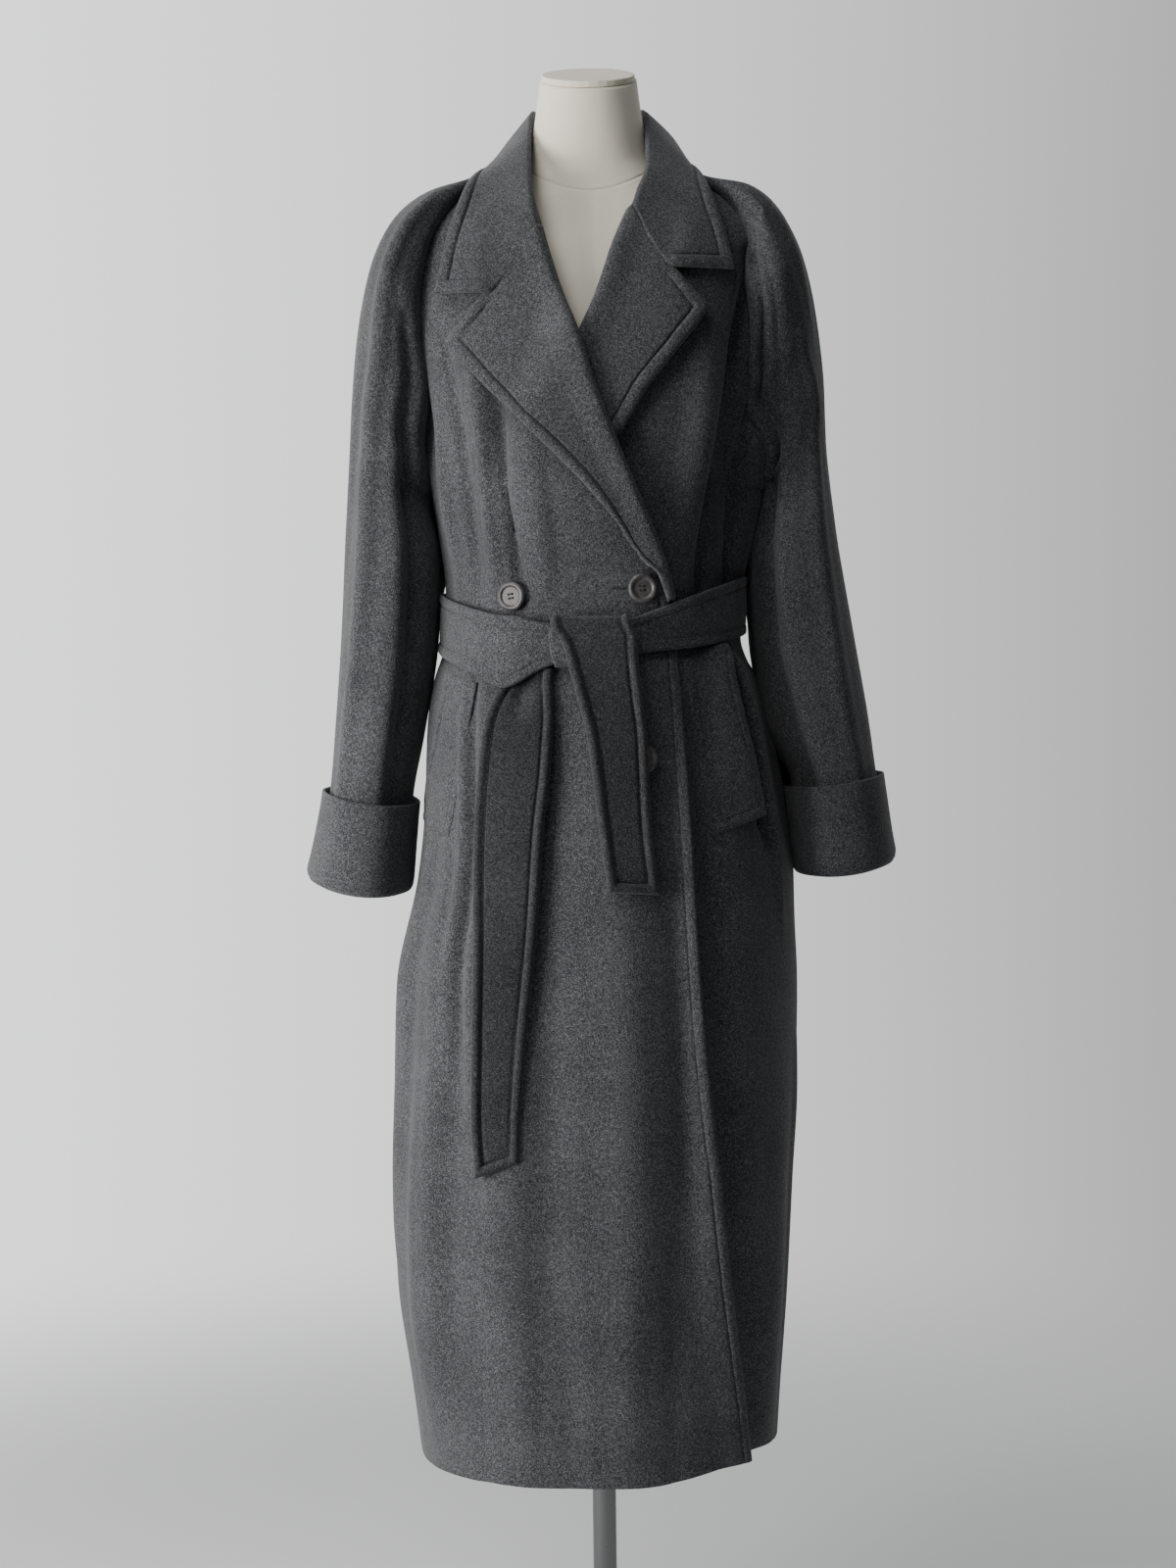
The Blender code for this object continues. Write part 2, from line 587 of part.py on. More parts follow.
# ---------------------------------------------------------------- sleeves and cuffs
SLEEVE_OFF_SEAM = 0.0037    # a sleeve's edge stands this far outside the panel it is sewn to


def sleeve_seam(side, height, back):
    """Where the middle of the sleeve's wall meets the body along a raglan seam."""
    place = np.maximum(height, ARMPIT)
    around = side * seam_around(place, raglan_across(place, side, back), back)
    around = np.where(place <= ARMPIT, 90.0 * side, around)
    point = body(around, place, 0.0)
    point[..., 0] += side * SLEEVE_OFF_SEAM
    return point


def sleeve_line(rows, side, u, s):
    """Sleeve surface: u runs from the front seam over the arm to the back seam, s is the row.

    Each half is two quarter ovals, seam to bulge and bulge to the overarm line.
    """
    u, s = np.broadcast_arrays(np.asarray(u, float), np.asarray(s, float))
    index = np.arange(len(rows), dtype=float)
    inner, low, outer, high, front, back, drop = [smooth(s, index, column(rows, k)) for k in range(7)]
    is_back = u > 0.5
    turn = np.where(is_back, 1.0 - u, u) * 4.0
    seam = np.where(is_back[..., None], sleeve_seam(side, low, True), sleeve_seam(side, low, False))
    under = np.stack((side * inner, 0.0 * inner, low), axis=-1)
    seam = np.where((low < ARMPIT)[..., None], under, seam)
    top = np.stack((side * outer, (back - front) / 2, high), axis=-1)
    bulge = seam * (1 - SLEEVE_MIDDLE) + top * SLEEVE_MIDDLE
    bulge[..., 1] = np.where(is_back, back, -front)
    bulge[..., 2] += np.where(is_back, drop, -drop)
    low_angle = np.clip(turn, 0, 1) * np.pi / 2
    high_angle = np.clip(turn - 1, 0, 1) * np.pi / 2
    k = 2 / SLEEVE_SQUARE
    near = np.cos(low_angle) ** k
    far = np.sin(high_angle) ** k
    inside = (turn <= 1)[..., None]
    flat = np.where(inside, bulge + (seam - bulge) * near[..., None], bulge + (top - bulge) * far[..., None])
    deep_low = seam[..., 1] + (bulge[..., 1] - seam[..., 1]) * np.sin(low_angle) ** k
    deep_high = top[..., 1] + (bulge[..., 1] - top[..., 1]) * np.cos(high_angle) ** k
    flat[..., 1] = np.where(turn <= 1, deep_low, deep_high)
    return flat


def sleeve(rows, side, u, s, out):
    """Sleeve surface moved out along its normal."""
    middle = sleeve_line(rows, side, u, s)
    last = len(rows) - 1.0
    closed = smooth(s, np.arange(len(rows), dtype=float), column(rows, 1)) < ARMPIT
    before = np.where(closed, (u - 0.004) % 1.0, np.maximum(u - 0.004, 0.0))
    after = np.where(closed, (u + 0.004) % 1.0, np.minimum(u + 0.004, 1.0))
    along = sleeve_line(rows, side, after, s) - sleeve_line(rows, side, before, s)
    down = sleeve_line(rows, side, u, np.minimum(s + 0.02, last)) - sleeve_line(
        rows, side, u, np.maximum(s - 0.02, 0.0)
    )
    normal = -side * np.cross(along, down)
    normal /= np.linalg.norm(normal, axis=-1, keepdims=True)
    return middle + normal * np.broadcast_to(out, normal.shape[:-1])[..., None]


def sleeve_grid(rows, side):
    """Points of one sleeve, from the neck to the wrist."""
    u = np.linspace(0, 1, SLEEVE_ROUND + 1)[None, :]
    s = np.linspace(0, len(rows) - 1, SLEEVE_STEPS + 1)[:, None]
    points = sleeve_line(rows, side, u, s)
    return points if side < 0 else points[:, ::-1]


def cuff_grid(rows, side):
    """Points of one cuff: the end of the sleeve moved out, wider towards its turned edge."""
    u = np.linspace(0, 1, SLEEVE_ROUND + 1)[None, :-1]
    s = np.linspace(CUFF_FIRST_ROW, len(rows) - 1, 4)[:, None]
    share = (s - CUFF_FIRST_ROW) / (len(rows) - 1 - CUFF_FIRST_ROW)
    points = sleeve(rows, side, u, s, CUFF_OUT_TOP * (1 - share) + CUFF_OUT_BOTTOM * share)
    return points if side < 0 else points[:, ::-1]


# ---------------------------------------------------------------- collar and lapels
def collar_grid(round_steps, fall_steps):
    """Points of the collar: profile through seam, roll, middle and edge, carried round the neck."""
    rows = np.arange(len(COLLAR_ROWS), dtype=float)
    b = np.linspace(0, len(COLLAR_ROWS) - 1, round_steps + 1)
    knots = np.stack([smooth(b, rows, column(COLLAR_ROWS, k)) for k in range(12)], axis=-1)
    knots = knots.reshape(len(b), 4, 3)
    a = np.concatenate((np.linspace(0, 1, 3)[:-1], np.linspace(1, 3, fall_steps + 1)))
    places = np.arange(4, dtype=float)
    lines = []
    for section in knots:
        lines.append(np.stack([smooth(a, places, section[:, k]) for k in range(3)], axis=-1))
    return np.array(lines)


def lapel_grid(rows, side, steps, lift):
    """Points of a lapel: from its roll over the middle to its edge, laid on the front."""
    index = np.arange(len(rows), dtype=float)
    b = np.linspace(0, len(rows) - 1, steps + 1)[:, None]
    a = np.linspace(0, 1, 5)[None, :]
    weights = ((1 - a) * (1 - 2 * a), 4 * a * (1 - a), a * (2 * a - 1))
    across = sum(w * smooth(b, index, column(rows, 2 * k)) for k, w in enumerate(weights))
    height = sum(w * smooth(b, index, column(rows, 2 * k + 1)) for k, w in enumerate(weights))
    out = CLOTH / 2 + LAID + FACED / 2 + lift(across, height)
    points = body(around_at(across, height), height, out)
    return points if side > 0 else points[:, ::-1]


# ---------------------------------------------------------------- belt, welts and buttons
def belt_grid(steps):
    """Points of the band round the waist."""
    around = np.linspace(-180, 180, steps + 1)[None, :-1]
    places = column(BELT_ROWS, 0)
    centre, width, out = [smooth(around, places, column(BELT_ROWS, k)) for k in (1, 2, 3)]
    height = centre + width * np.array([-0.5, 0.0, 0.5])[:, None]
    return body(around, height, out)


def tail_grid(rows, steps, slant):
    """Points of a hanging belt end, three across."""
    places = -column(rows, 0)
    height = -np.linspace(places[0], places[-1], steps + 1)[:, None]
    centre, width, out = [smooth(-height, places, column(rows, k)) for k in (1, 2, 3)]
    share = np.array([0.5, 0.0, -0.5])[None, :]
    across = centre + width * share
    near_end = 1 - ramp(0.0, TAIL_END_REACH, height - rows[-1][0])
    slanted = height + near_end * slant * share * width
    return body(around_at(across, height), slanted, out)


def knot_grid():
    """Points of the knot's folded pad between the band and the short tail."""
    top, bottom = SHORT_TAIL_ROWS[0], SHORT_TAIL_ROWS[1]
    height = np.linspace(BELT_ROWS[7][1] - KNOT_BELOW_BAND, top[0] - 0.001, 4)[:, None]
    across = (top[1] + bottom[1]) / 2 + KNOT_WIDTH * np.linspace(-0.5, 0.5, 5)[None, :]
    return body(around_at(across, height), height, KNOT_OUT)


def welt_grid(side, start, lift):
    """Points of a pocket welt laid on its front."""
    index = np.arange(len(WELT_ROWS), dtype=float)
    b = np.linspace(start * (len(WELT_ROWS) - 1), len(WELT_ROWS) - 1, 6)[:, None]
    outer_x, outer_z, inner_x, inner_z = [smooth(b, index, column(WELT_ROWS, k)) for k in range(4)]
    share = np.linspace(0, 1, 4)[None, :]
    across = side * (outer_x * share + inner_x * (1 - share))
    height = outer_z * share + inner_z * (1 - share)
    out = CLOTH / 2 + LAID + WELT_THICKNESS / 2 + lift(across, height)
    points = body(around_at(across, height), height, out)
    return points[::-1] if side > 0 else points


def flat(across, height):
    """No lift: the left front lies on the body surface itself."""
    return 0.0 * across


def button_profile():
    """Half section of a button with a raised rim, top axis to bottom axis."""
    radius, thick = BUTTON_DIAMETER / 2, BUTTON_THICKNESS
    return (
        (0.0, 0.66 * thick),
        (0.62 * radius, 0.66 * thick),
        (0.74 * radius, 0.97 * thick),
        (0.86 * radius, thick),
        (0.97 * radius, 0.80 * thick),
        (radius, 0.52 * thick),
        (0.93 * radius, 0.20 * thick),
        (0.55 * radius, 0.0),
        (0.0, 0.0),
    )


def button_object(name, across, height, out, collection, cutters, material):
    """Four-hole button seated on the right front, facing out."""
    around = around_at(np.array([across]), np.array([height]))
    rise = np.array([height])
    seat = body(around, rise, overlap(np.array([across]), rise) + CLOTH / 2 + out)[0]
    facing = outward(folded, around, rise)[0]
    item = turned_object(name, button_profile(), collection, material, steps=24)
    turn = math.atan2(facing[0], -facing[1])
    tilt = math.asin(facing[2])
    item.location = seat
    item.rotation_euler = (math.pi / 2 - tilt, 0.0, turn)
    spread = BUTTON_HOLE_SPREAD
    for k in range(4):
        angle = math.radians(52.5 + 90 * k)
        bpy.ops.mesh.primitive_cylinder_add(
            vertices=8,
            radius=BUTTON_HOLE / 2,
            depth=4 * BUTTON_THICKNESS,
            location=(spread * math.cos(angle), spread * math.sin(angle), BUTTON_THICKNESS / 2),
        )
        cutter = bpy.context.object
        cutter.name = f"{name}_hole_{k + 1}"
        cutter.parent = item
        for group in list(cutter.users_collection):
            group.objects.unlink(cutter)
        cutters.objects.link(cutter)
        cutter.display_type = "WIRE"
        cutter.hide_render = True
        hole = item.modifiers.new(f"hole_{k + 1}", "BOOLEAN")
        hole.operation = "DIFFERENCE"
        hole.object = cutter
        hole.solver = "EXACT"
    return item


# ---------------------------------------------------------------- dress form and stand
def form_object(collection, material):
    """Closed smooth form: oval sections joined upwards, with flat ends."""
    count = 36
    angle = np.radians(np.arange(count) * 360.0 / count)
    k = 2 / FORM_SQUARE
    rings = []
    for height, half, front, back, tilt in FORM_ROWS:
        across = half * power(np.sin(angle), k)
        deep = -power(np.cos(angle), k) * np.where(np.cos(angle) > 0, front, back)
        rise = height + math.tan(math.radians(tilt)) * (deep - (back - front) / 2)
        rings.append(np.stack((across, deep, rise), axis=-1))
    work = bmesh.new()
    loops = [[work.verts.new(point) for point in ring] for ring in rings]
    for low, high in zip(loops, loops[1:]):
        for c in range(count):
            d = (c + 1) % count
            work.faces.new((low[c], low[d], high[d], high[c]))
    work.faces.new(loops[0][::-1])
    work.faces.new(loops[-1])
    mesh = bpy.data.meshes.new("form_body")
    work.to_mesh(mesh)
    work.free()
    return new_object("form_body", mesh, collection, material)


def main():
    clear_scene()
    collection = bpy.data.collections.new("double_breasted_coat")
    cutters = bpy.data.collections.new("cutters")
    for group in (collection, cutters):
        bpy.context.scene.collection.children.link(group)
    wool, horn, linen, steel = [make_material(name) for name in MATERIALS]

    def cloth(name, points, thickness=CLOTH, ring=False):
        return cloth_object(name, points, thickness, collection, wool, ring)

    cloth("front_right", front_panel(-1, right_edge, FRONT_COLUMNS + 2, overlap))
    cloth("front_left", front_panel(1, left_edge, FRONT_COLUMNS, flat))
    cloth("back", back_panel(BACK_COLUMNS + 1))
    for word, side, rows in (("right", -1, RIGHT_SLEEVE_ROWS), ("left", 1, LEFT_SLEEVE_ROWS)):
        cloth(f"sleeve_{word}", sleeve_grid(rows, side))
        cloth(f"cuff_{word}", cuff_grid(rows, side), ring=True)
    cloth("collar", collar_grid(24, 5), FACED)
    cloth("lapel_right", lapel_grid(RIGHT_LAPEL_ROWS, -1, 12, overlap), FACED)
    cloth("lapel_left", lapel_grid(LEFT_LAPEL_ROWS, 1, 8, flat), FACED)
    cloth("belt_band", belt_grid(2 * BACK_COLUMNS), FACED, ring=True)
    cloth("belt_knot", knot_grid(), KNOT_THICKNESS)
    cloth("belt_tail_short", tail_grid(SHORT_TAIL_ROWS, 9, SHORT_END_SLANT), FACED)
    cloth("belt_tail_long", tail_grid(LONG_TAIL_ROWS, 12, LONG_END_SLANT), FACED)
    cloth("pocket_welt_left", welt_grid(1, 0.0, flat), WELT_THICKNESS)
    cloth("pocket_welt_right", welt_grid(-1, RIGHT_WELT_START, overlap), WELT_THICKNESS)
    for name, across, height, out in BUTTON_PLACES:
        button_object(name, across, height, out, collection, cutters, horn)

    form_object(collection, linen)
    height, _, front, back, tilt = FORM_ROWS[-1]
    cap = turned_object(
        "form_neck_cap",
        ((0.0, CAP_THICKNESS), (CAP_RADIUS, CAP_THICKNESS), (CAP_RADIUS, 0.0), (0.0, 0.0)),
        collection,
        linen,
        bevel=0.0012,
    )
    lean = math.radians(CAP_LEAN)
    cap.location = (0.0, (back - front) / 2 - SEAM * math.sin(lean), height + SEAM * math.cos(lean))
    cap.rotation_euler = (lean, 0.0, 0.0)

    pole_top = FORM_BOTTOM - FLANGE_THICKNESS - 2 * SEAM
    turned = (
        ("stand_base", BASE_DIAMETER / 2, 0.0, BASE_THICKNESS, 0.002),
        ("stand_socket", SOCKET_DIAMETER / 2, BASE_THICKNESS + SEAM, SOCKET_HEIGHT, 0.0015),
        ("stand_flange", FLANGE_DIAMETER / 2, pole_top + SEAM, FLANGE_THICKNESS, 0.0015),
    )
    for name, radius, foot, tall, bevel in turned:
        item = turned_object(
            name, ((0.0, tall), (radius, tall), (radius, 0.0), (0.0, 0.0)), collection, steel, 48, bevel
        )
        item.location.z = foot
    pole_foot = BASE_THICKNESS + SOCKET_HEIGHT + 2 * SEAM
    bpy.ops.mesh.primitive_cylinder_add(
        vertices=32,
        radius=POLE_DIAMETER / 2,
        depth=pole_top - pole_foot,
        location=(0.0, 0.0, (pole_top + pole_foot) / 2),
    )
    pole = bpy.context.object
    pole.name = "stand_pole"
    for group in list(pole.users_collection):
        group.objects.unlink(pole)
    collection.objects.link(pole)
    pole.data.materials.append(steel)
    pole.data.shade_smooth()
    pole.data.set_sharp_from_angle(angle=math.radians(40))


main()
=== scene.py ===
# %% [markdown]
# # A belted double-breasted wool coat on a dress form
#
# The coat is charcoal wool with raglan sleeves, turned-back cuffs, a notched collar and a
# belt tied to one side. It hangs on a cream form with a steel pole and a round base.
#
# Such a coat could be sculpted, or its flat pattern draped by the cloth simulation. Here each
# piece is a surface worked out from sizes: a table gives sizes at a few places, a curve runs
# through them, and whole arrays of points come from two parameters. Every fold then stays
# where a row of a table puts it. A second step gives the surface a wall with a rounded edge
# and a soft border between the edge and its stitches.
#
# Metres, +Z up, the front faces -Y. Left and right are the wearer's, so right is at -X.

import json
import math

import bpy
import numpy as np
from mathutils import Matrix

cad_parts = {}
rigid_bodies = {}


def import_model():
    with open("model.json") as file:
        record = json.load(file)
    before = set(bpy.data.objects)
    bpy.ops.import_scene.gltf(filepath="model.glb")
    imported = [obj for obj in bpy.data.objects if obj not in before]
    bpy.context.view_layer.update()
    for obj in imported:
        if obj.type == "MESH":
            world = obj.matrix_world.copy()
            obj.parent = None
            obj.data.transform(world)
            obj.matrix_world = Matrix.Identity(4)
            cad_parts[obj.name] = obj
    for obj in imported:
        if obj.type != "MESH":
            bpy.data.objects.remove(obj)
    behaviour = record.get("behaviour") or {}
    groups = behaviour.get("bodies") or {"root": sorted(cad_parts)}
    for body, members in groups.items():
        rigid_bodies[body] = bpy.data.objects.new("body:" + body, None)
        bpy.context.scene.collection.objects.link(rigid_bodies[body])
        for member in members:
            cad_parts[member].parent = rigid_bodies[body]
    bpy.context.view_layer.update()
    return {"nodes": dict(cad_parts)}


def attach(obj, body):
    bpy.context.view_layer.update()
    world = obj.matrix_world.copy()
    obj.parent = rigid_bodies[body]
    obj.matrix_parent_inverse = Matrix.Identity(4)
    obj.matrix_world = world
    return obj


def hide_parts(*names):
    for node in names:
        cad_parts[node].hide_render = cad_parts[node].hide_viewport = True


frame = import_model()

# %% [markdown]
# ## Camera, light and floor
#
# The camera looks level from 2.25 m in front, at the middle of the coat's height, with a
# trace of roll. The real coat hangs beside a window. A sun or an environment picture could
# light it, but a large lamp that stands low and close on the left draws the folds better: its
# light grazes them and fades towards the right. A softer lamp hangs from the ceiling, a weak
# one fills the front, and one behind lifts the shoulders from the backdrop.
#
# The backdrop is the world itself, pale on the left and darker on the right. The floor is a
# pale disc that fades out at its rim, so no horizon line shows.

# %% Camera
CAMERA_PLACE = (-0.0077, -2.25, 0.85)
CAMERA_ROLL = 0.66      # degrees

lens = bpy.data.cameras.new("camera")
lens.lens = 55.0
lens.sensor_width = 36.0
camera = bpy.data.objects.new("camera", lens)
camera.location = CAMERA_PLACE
camera.rotation_euler = (math.pi / 2, math.radians(CAMERA_ROLL), 0.0)
bpy.context.scene.collection.objects.link(camera)
bpy.context.scene.camera = camera
print("camera at", CAMERA_PLACE, "with a", lens.lens, "mm lens")


# %% Lights
def area_light(name, place, aim, size, power_w, colour):
    """Square soft light at a place, turned to look at a point."""
    lamp = bpy.data.lights.new(name, "AREA")
    lamp.size = size
    lamp.energy = power_w
    lamp.color = colour
    item = bpy.data.objects.new(name, lamp)
    item.location = place
    away = np.array(place) - np.array(aim)
    tilt = math.atan2(math.hypot(away[0], away[1]), away[2])
    item.rotation_euler = (tilt, 0.0, math.atan2(away[1], away[0]) + math.pi / 2)
    bpy.context.scene.collection.objects.link(item)
    print(name, "light:", power_w, "W")


area_light("window", (-1.62, -0.92, 0.90), (0, 0, 0.80), 1.0, 57, (1.0, 0.985, 0.965))
area_light("front", (0.5, -3.1, 2.0), (0, 0, 1.0), 1.6, 4, (0.95, 0.975, 1.0))
area_light("ceiling", (-0.8, -1.1, 2.8), (0, 0, 1.2), 1.1, 25, (1.0, 0.99, 0.97))
area_light("back_light", (1.6, 2.4, 2.2), (0, 0, 0.9), 2.0, 22, (1.0, 1.0, 1.0))


# %% Node helpers
def connect(tree, value, socket):
    """Link a value that is another node's socket, or set it as the socket's own value."""
    if isinstance(value, bpy.types.NodeSocket):
        tree.links.new(value, socket)
    else:
        socket.default_value = value


def add_node(tree, kind, settings=None, **inputs):
    """New node with its settings; inputs are set by name with _ for spaces."""
    node = tree.nodes.new(kind)
    for key, value in (settings or {}).items():
        setattr(node, key, value)
    for key, value in inputs.items():
        connect(tree, value, node.inputs[key.replace("_", " ")])
    return node


def map_range(tree, value, low, high, to_low=0.0, to_high=1.0, **settings):
    """A value mapped from low..high to to_low..to_high."""
    return add_node(
        tree, "ShaderNodeMapRange", settings, Value=value, From_Min=low, From_Max=high,
        To_Min=to_low, To_Max=to_high,
    ).outputs["Result"]


def mix_colours(tree, factor, first, second):
    """Colour between two colours: first at factor 0, second at 1."""
    mix = add_node(tree, "ShaderNodeMix", {"data_type": "RGBA"}, Factor=factor, A=first, B=second)
    return mix.outputs["Result"]


def principled(name, colour, roughness, **sockets):
    """New material with a Principled shader; further sockets are set by name."""
    material = bpy.data.materials.new(name)
    material.use_nodes = True
    shader = material.node_tree.nodes["Principled BSDF"]
    shader.inputs["Base Color"].default_value = (*colour, 1)
    shader.inputs["Roughness"].default_value = roughness
    for socket, value in sockets.items():
        shader.inputs[socket.replace("_", " ")].default_value = value
    return material, material.node_tree, shader


# %% Backdrop
BACKDROP_LEFT = (1.60, 1.64, 1.62, 1)
BACKDROP_RIGHT = (0.44, 0.45, 0.435, 1)
ROOM = (0.060, 0.062, 0.066, 1)      # dim room behind the camera

world = bpy.data.worlds.new("studio")
world.use_nodes = True
tree = world.node_tree
# Generated coordinates are the direction looked in: X to the right, Y away from the front.
facing = add_node(tree, "ShaderNodeTexCoord").outputs["Generated"]
parts = add_node(tree, "ShaderNodeSeparateXYZ", Vector=facing)
sideways = map_range(tree, parts.outputs["X"], -0.25, 0.30)
behind = map_range(tree, parts.outputs["Y"], -0.1, 0.55)
backdrop = mix_colours(tree, sideways, BACKDROP_LEFT, BACKDROP_RIGHT)
sky = tree.nodes["Background"]
sky.inputs["Strength"].default_value = 1.0
tree.links.new(mix_colours(tree, behind, ROOM, backdrop), sky.inputs["Color"])
bpy.context.scene.world = world
print("backdrop:", len(tree.nodes), "nodes")

# %% Floor
FLOOR_RADIUS = 2.6
FLOOR_CORNERS = 96
FADE_START = 0.5

turn = np.linspace(0, 2 * np.pi, FLOOR_CORNERS + 1)[:-1]
corners = FLOOR_RADIUS * np.stack((np.cos(turn), np.sin(turn), 0 * turn), axis=-1)
floor_mesh = bpy.data.meshes.new("floor")
floor_mesh.from_pydata(corners.tolist(), [], [range(FLOOR_CORNERS)])
floor = bpy.data.objects.new("floor", floor_mesh)
bpy.context.scene.collection.objects.link(floor)
floor_paint, tree, shader = principled("floor_pale", (0.62, 0.63, 0.635), 0.9)
place = add_node(tree, "ShaderNodeTexCoord").outputs["Object"]
reach = add_node(tree, "ShaderNodeVectorMath", {"operation": "LENGTH"}, Vector=place)
fade = map_range(
    tree, reach.outputs["Value"], FADE_START, FLOOR_RADIUS * 0.96, 1.0, 0.0,
    interpolation_type="SMOOTHERSTEP",
)
tree.links.new(fade, shader.inputs["Alpha"])
floor_mesh.materials.append(floor_paint)
print("floor radius:", FLOOR_RADIUS)

# %% [markdown]
# ## Curves, walls and stitches
#
# Real cloth has a thickness, a folded edge that is round, and beside the edge a roll that the
# row of stitches presses down. Solidify and Bevel could give the wall and its edge, but not a
# roll at a true distance from the edge. So the grid of points is spaced by true distances,
# and `wall` builds both layers from it. Monotone curves are used because an ordinary spline
# overshoots between two rows of a table, which looks like a dent.


# %% Curves through tables
def smooth(at, places, values):
    """Monotone cubic: between two places the curve is a cubic whose end slopes are the
    harmonic means of the neighbouring slopes, or 0 where the values turn back. values may
    have more rows, one for each row of at."""
    at = np.clip(at, places[0], places[-1])
    step = np.diff(places)
    slope = np.diff(values) / step
    before, after = slope[..., :-1], slope[..., 1:]
    rising = before * after > 0
    middle = np.where(rising, 2.0 * before * after / np.where(rising, before + after, 1.0), 0.0)
    bend = np.concatenate((slope[..., :1], middle, slope[..., -1:]), axis=-1)
    k = np.clip(np.searchsorted(places, at) - 1, 0, len(places) - 2)
    t = (at - places[k]) / step[k]

    def pick(row, number):
        return row[number] if row.ndim == 1 else np.take_along_axis(row, number, axis=-1)

    return (
        pick(values, k) * (1 + 2 * t) * (1 - t) ** 2
        + pick(bend, k) * step[k] * t * (1 - t) ** 2
        + pick(values, k + 1) * t ** 2 * (3 - 2 * t)
        + pick(bend, k + 1) * step[k] * t ** 2 * (t - 1)
    )


def at_place(rows, place, wanted=slice(1, None)):
    """Columns of a table, read at places in its first column: all the others, or a choice."""
    table = np.array(rows, dtype=float).T
    return [smooth(place, table[0], values) for values in table[wanted]]


def at_row(rows, number, wanted=slice(None)):
    """Columns of a table, read at row numbers, which may lie between two rows."""
    table = np.array(rows, dtype=float).T
    return [smooth(number, np.arange(len(rows), dtype=float), values) for values in table[wanted]]


halfway = at_row([(0.0,), (1.0,), (1.0,)], np.array([0.5, 1.5]))[0]
print("a curve through 0, 1, 1 reads", halfway, "halfway and never goes past 1")


# %% Soft steps, powers and bumps
def ramp(low, high, at):
    """0 below low, 1 above high, with a soft start and end: 3t^2 - 2t^3."""
    t = np.clip((at - low) / (high - low), 0.0, 1.0)
    return t * t * (3 - 2 * t)


def power(value, exponent):
    """value to a power, keeping its sign."""
    return np.sign(value) * np.abs(value) ** exponent


def unit(vectors):
    """Vectors scaled to length 1."""
    return vectors / np.maximum(np.linalg.norm(vectors, axis=-1, keepdims=True), 1e-12)


def bell(at, width):
    """Soft bump: 1 at 0, falling off as exp(-(at / width)^2)."""
    return np.exp(-((at / width) ** 2))


print("ramp and bell a quarter of the way:", ramp(0, 1, 0.25), round(float(bell(0.25, 1.0)), 4))

# %% Steps that crowd at an edge
STITCH_LINE = 0.0095     # from a finished edge to its row of stitches
EDGE_STEPS = np.array(
    [0, 0.0003, 0.0008, 0.0015, 0.0024, 0.0036, 0.0052, 0.007, 0.0083, 0.009,
     STITCH_LINE, 0.010, 0.0107, 0.0118, 0.0135, 0.016]
)
STITCH_STEP = 10         # the step that lies on the stitch line
WIDE_LINE = 0.0125       # the same on collar and lapels
WIDE_STEPS = EDGE_STEPS * WIDE_LINE / STITCH_LINE
PLAIN_STEPS = np.array([0, 0.0003, 0.0008, 0.0015, 0.0026, 0.0045])


def spaced(length, step, start=PLAIN_STEPS, end=PLAIN_STEPS):
    """Distances from 0 to length, crowded at both ends and even between them.

    length may be an array, one for each line; then the answer has one row for each.
    """
    length = np.asarray(length, float)[..., None]
    count = max(2, int(round(float(length.max() - start[-1] - end[-1]) / step)))
    share = np.linspace(0, 1, count + 1)[1:-1]
    middle = start[-1] + (length - start[-1] - end[-1]) * share
    first = np.broadcast_to(start, length.shape[:-1] + start.shape)
    return np.concatenate((first, middle, length - end[::-1]), axis=-1)


print("steps of a 4 cm line, in mm:", np.round(1000 * spaced(0.04, 0.01), 2))


# %% Grids with true distances
def run(points, axis):
    """Distance along the grid lines of one axis, from their first point."""
    step = np.linalg.norm(np.diff(points, axis=axis), axis=-1)
    start = np.zeros_like(np.take(step, [0], axis=axis))
    return np.concatenate((start, np.cumsum(step, axis=axis)), axis=axis)


def edge_distance(points, *edges):
    """Distance of each grid point from the nearest named edge: top or bottom row, first or
    last column."""
    down, along = run(points, 0), run(points, 1)
    far = {"top": down, "bottom": down[-1:] - down, "first": along, "last": along[:, -1:] - along}
    return np.minimum.reduce([far[edge] for edge in edges])


def by_distance(surface, rows, spacing, samples=81):
    """Grid of points and its shares, with columns at true distances along each line.

    surface(rows, shares) gives points; rows is a column of numbers. spacing(lengths) gives
    the distances wanted on each line, and shares are read off its measured length.
    """
    coarse = np.linspace(0, 1, samples)
    far = run(surface(rows, coarse[None, :]), 1)
    wanted = spacing(far[:, -1])
    share = np.stack([np.interp(distance, line, coarse) for distance, line in zip(wanted, far)])
    return surface(rows, share), share, wanted


def row_places(line, step, start=PLAIN_STEPS, end=PLAIN_STEPS, samples=401):
    """Column of row numbers 0..1 at true distances along one line of points, line(shares)."""
    coarse = np.linspace(0, 1, samples)
    far = run(line(coarse)[:, None], 0)[:, 0]
    return np.interp(spaced(far[-1], step, start, end), far, coarse)[:, None]


# %% Normals and faces of a grid
def grid_normals(points, ring=False):
    """Unit normals of a grid: row direction crossed with column direction."""
    along = np.gradient(points, axis=1)
    if ring:
        along = np.roll(points, -1, axis=1) - np.roll(points, 1, axis=1)
    return unit(np.cross(along, np.gradient(points, axis=0)))


def grid_faces(numbers, ring=False, reverse=False):
    """Four-cornered faces of a grid of point numbers. A ring's last column meets its first."""
    if ring:
        numbers = np.concatenate((numbers, numbers[:, :1]), axis=1)
    corners = (numbers[:-1, :-1], numbers[:-1, 1:], numbers[1:, 1:], numbers[1:, :-1])
    faces = np.stack([corner.ravel() for corner in corners], axis=-1)
    return faces[:, ::-1] if reverse else faces


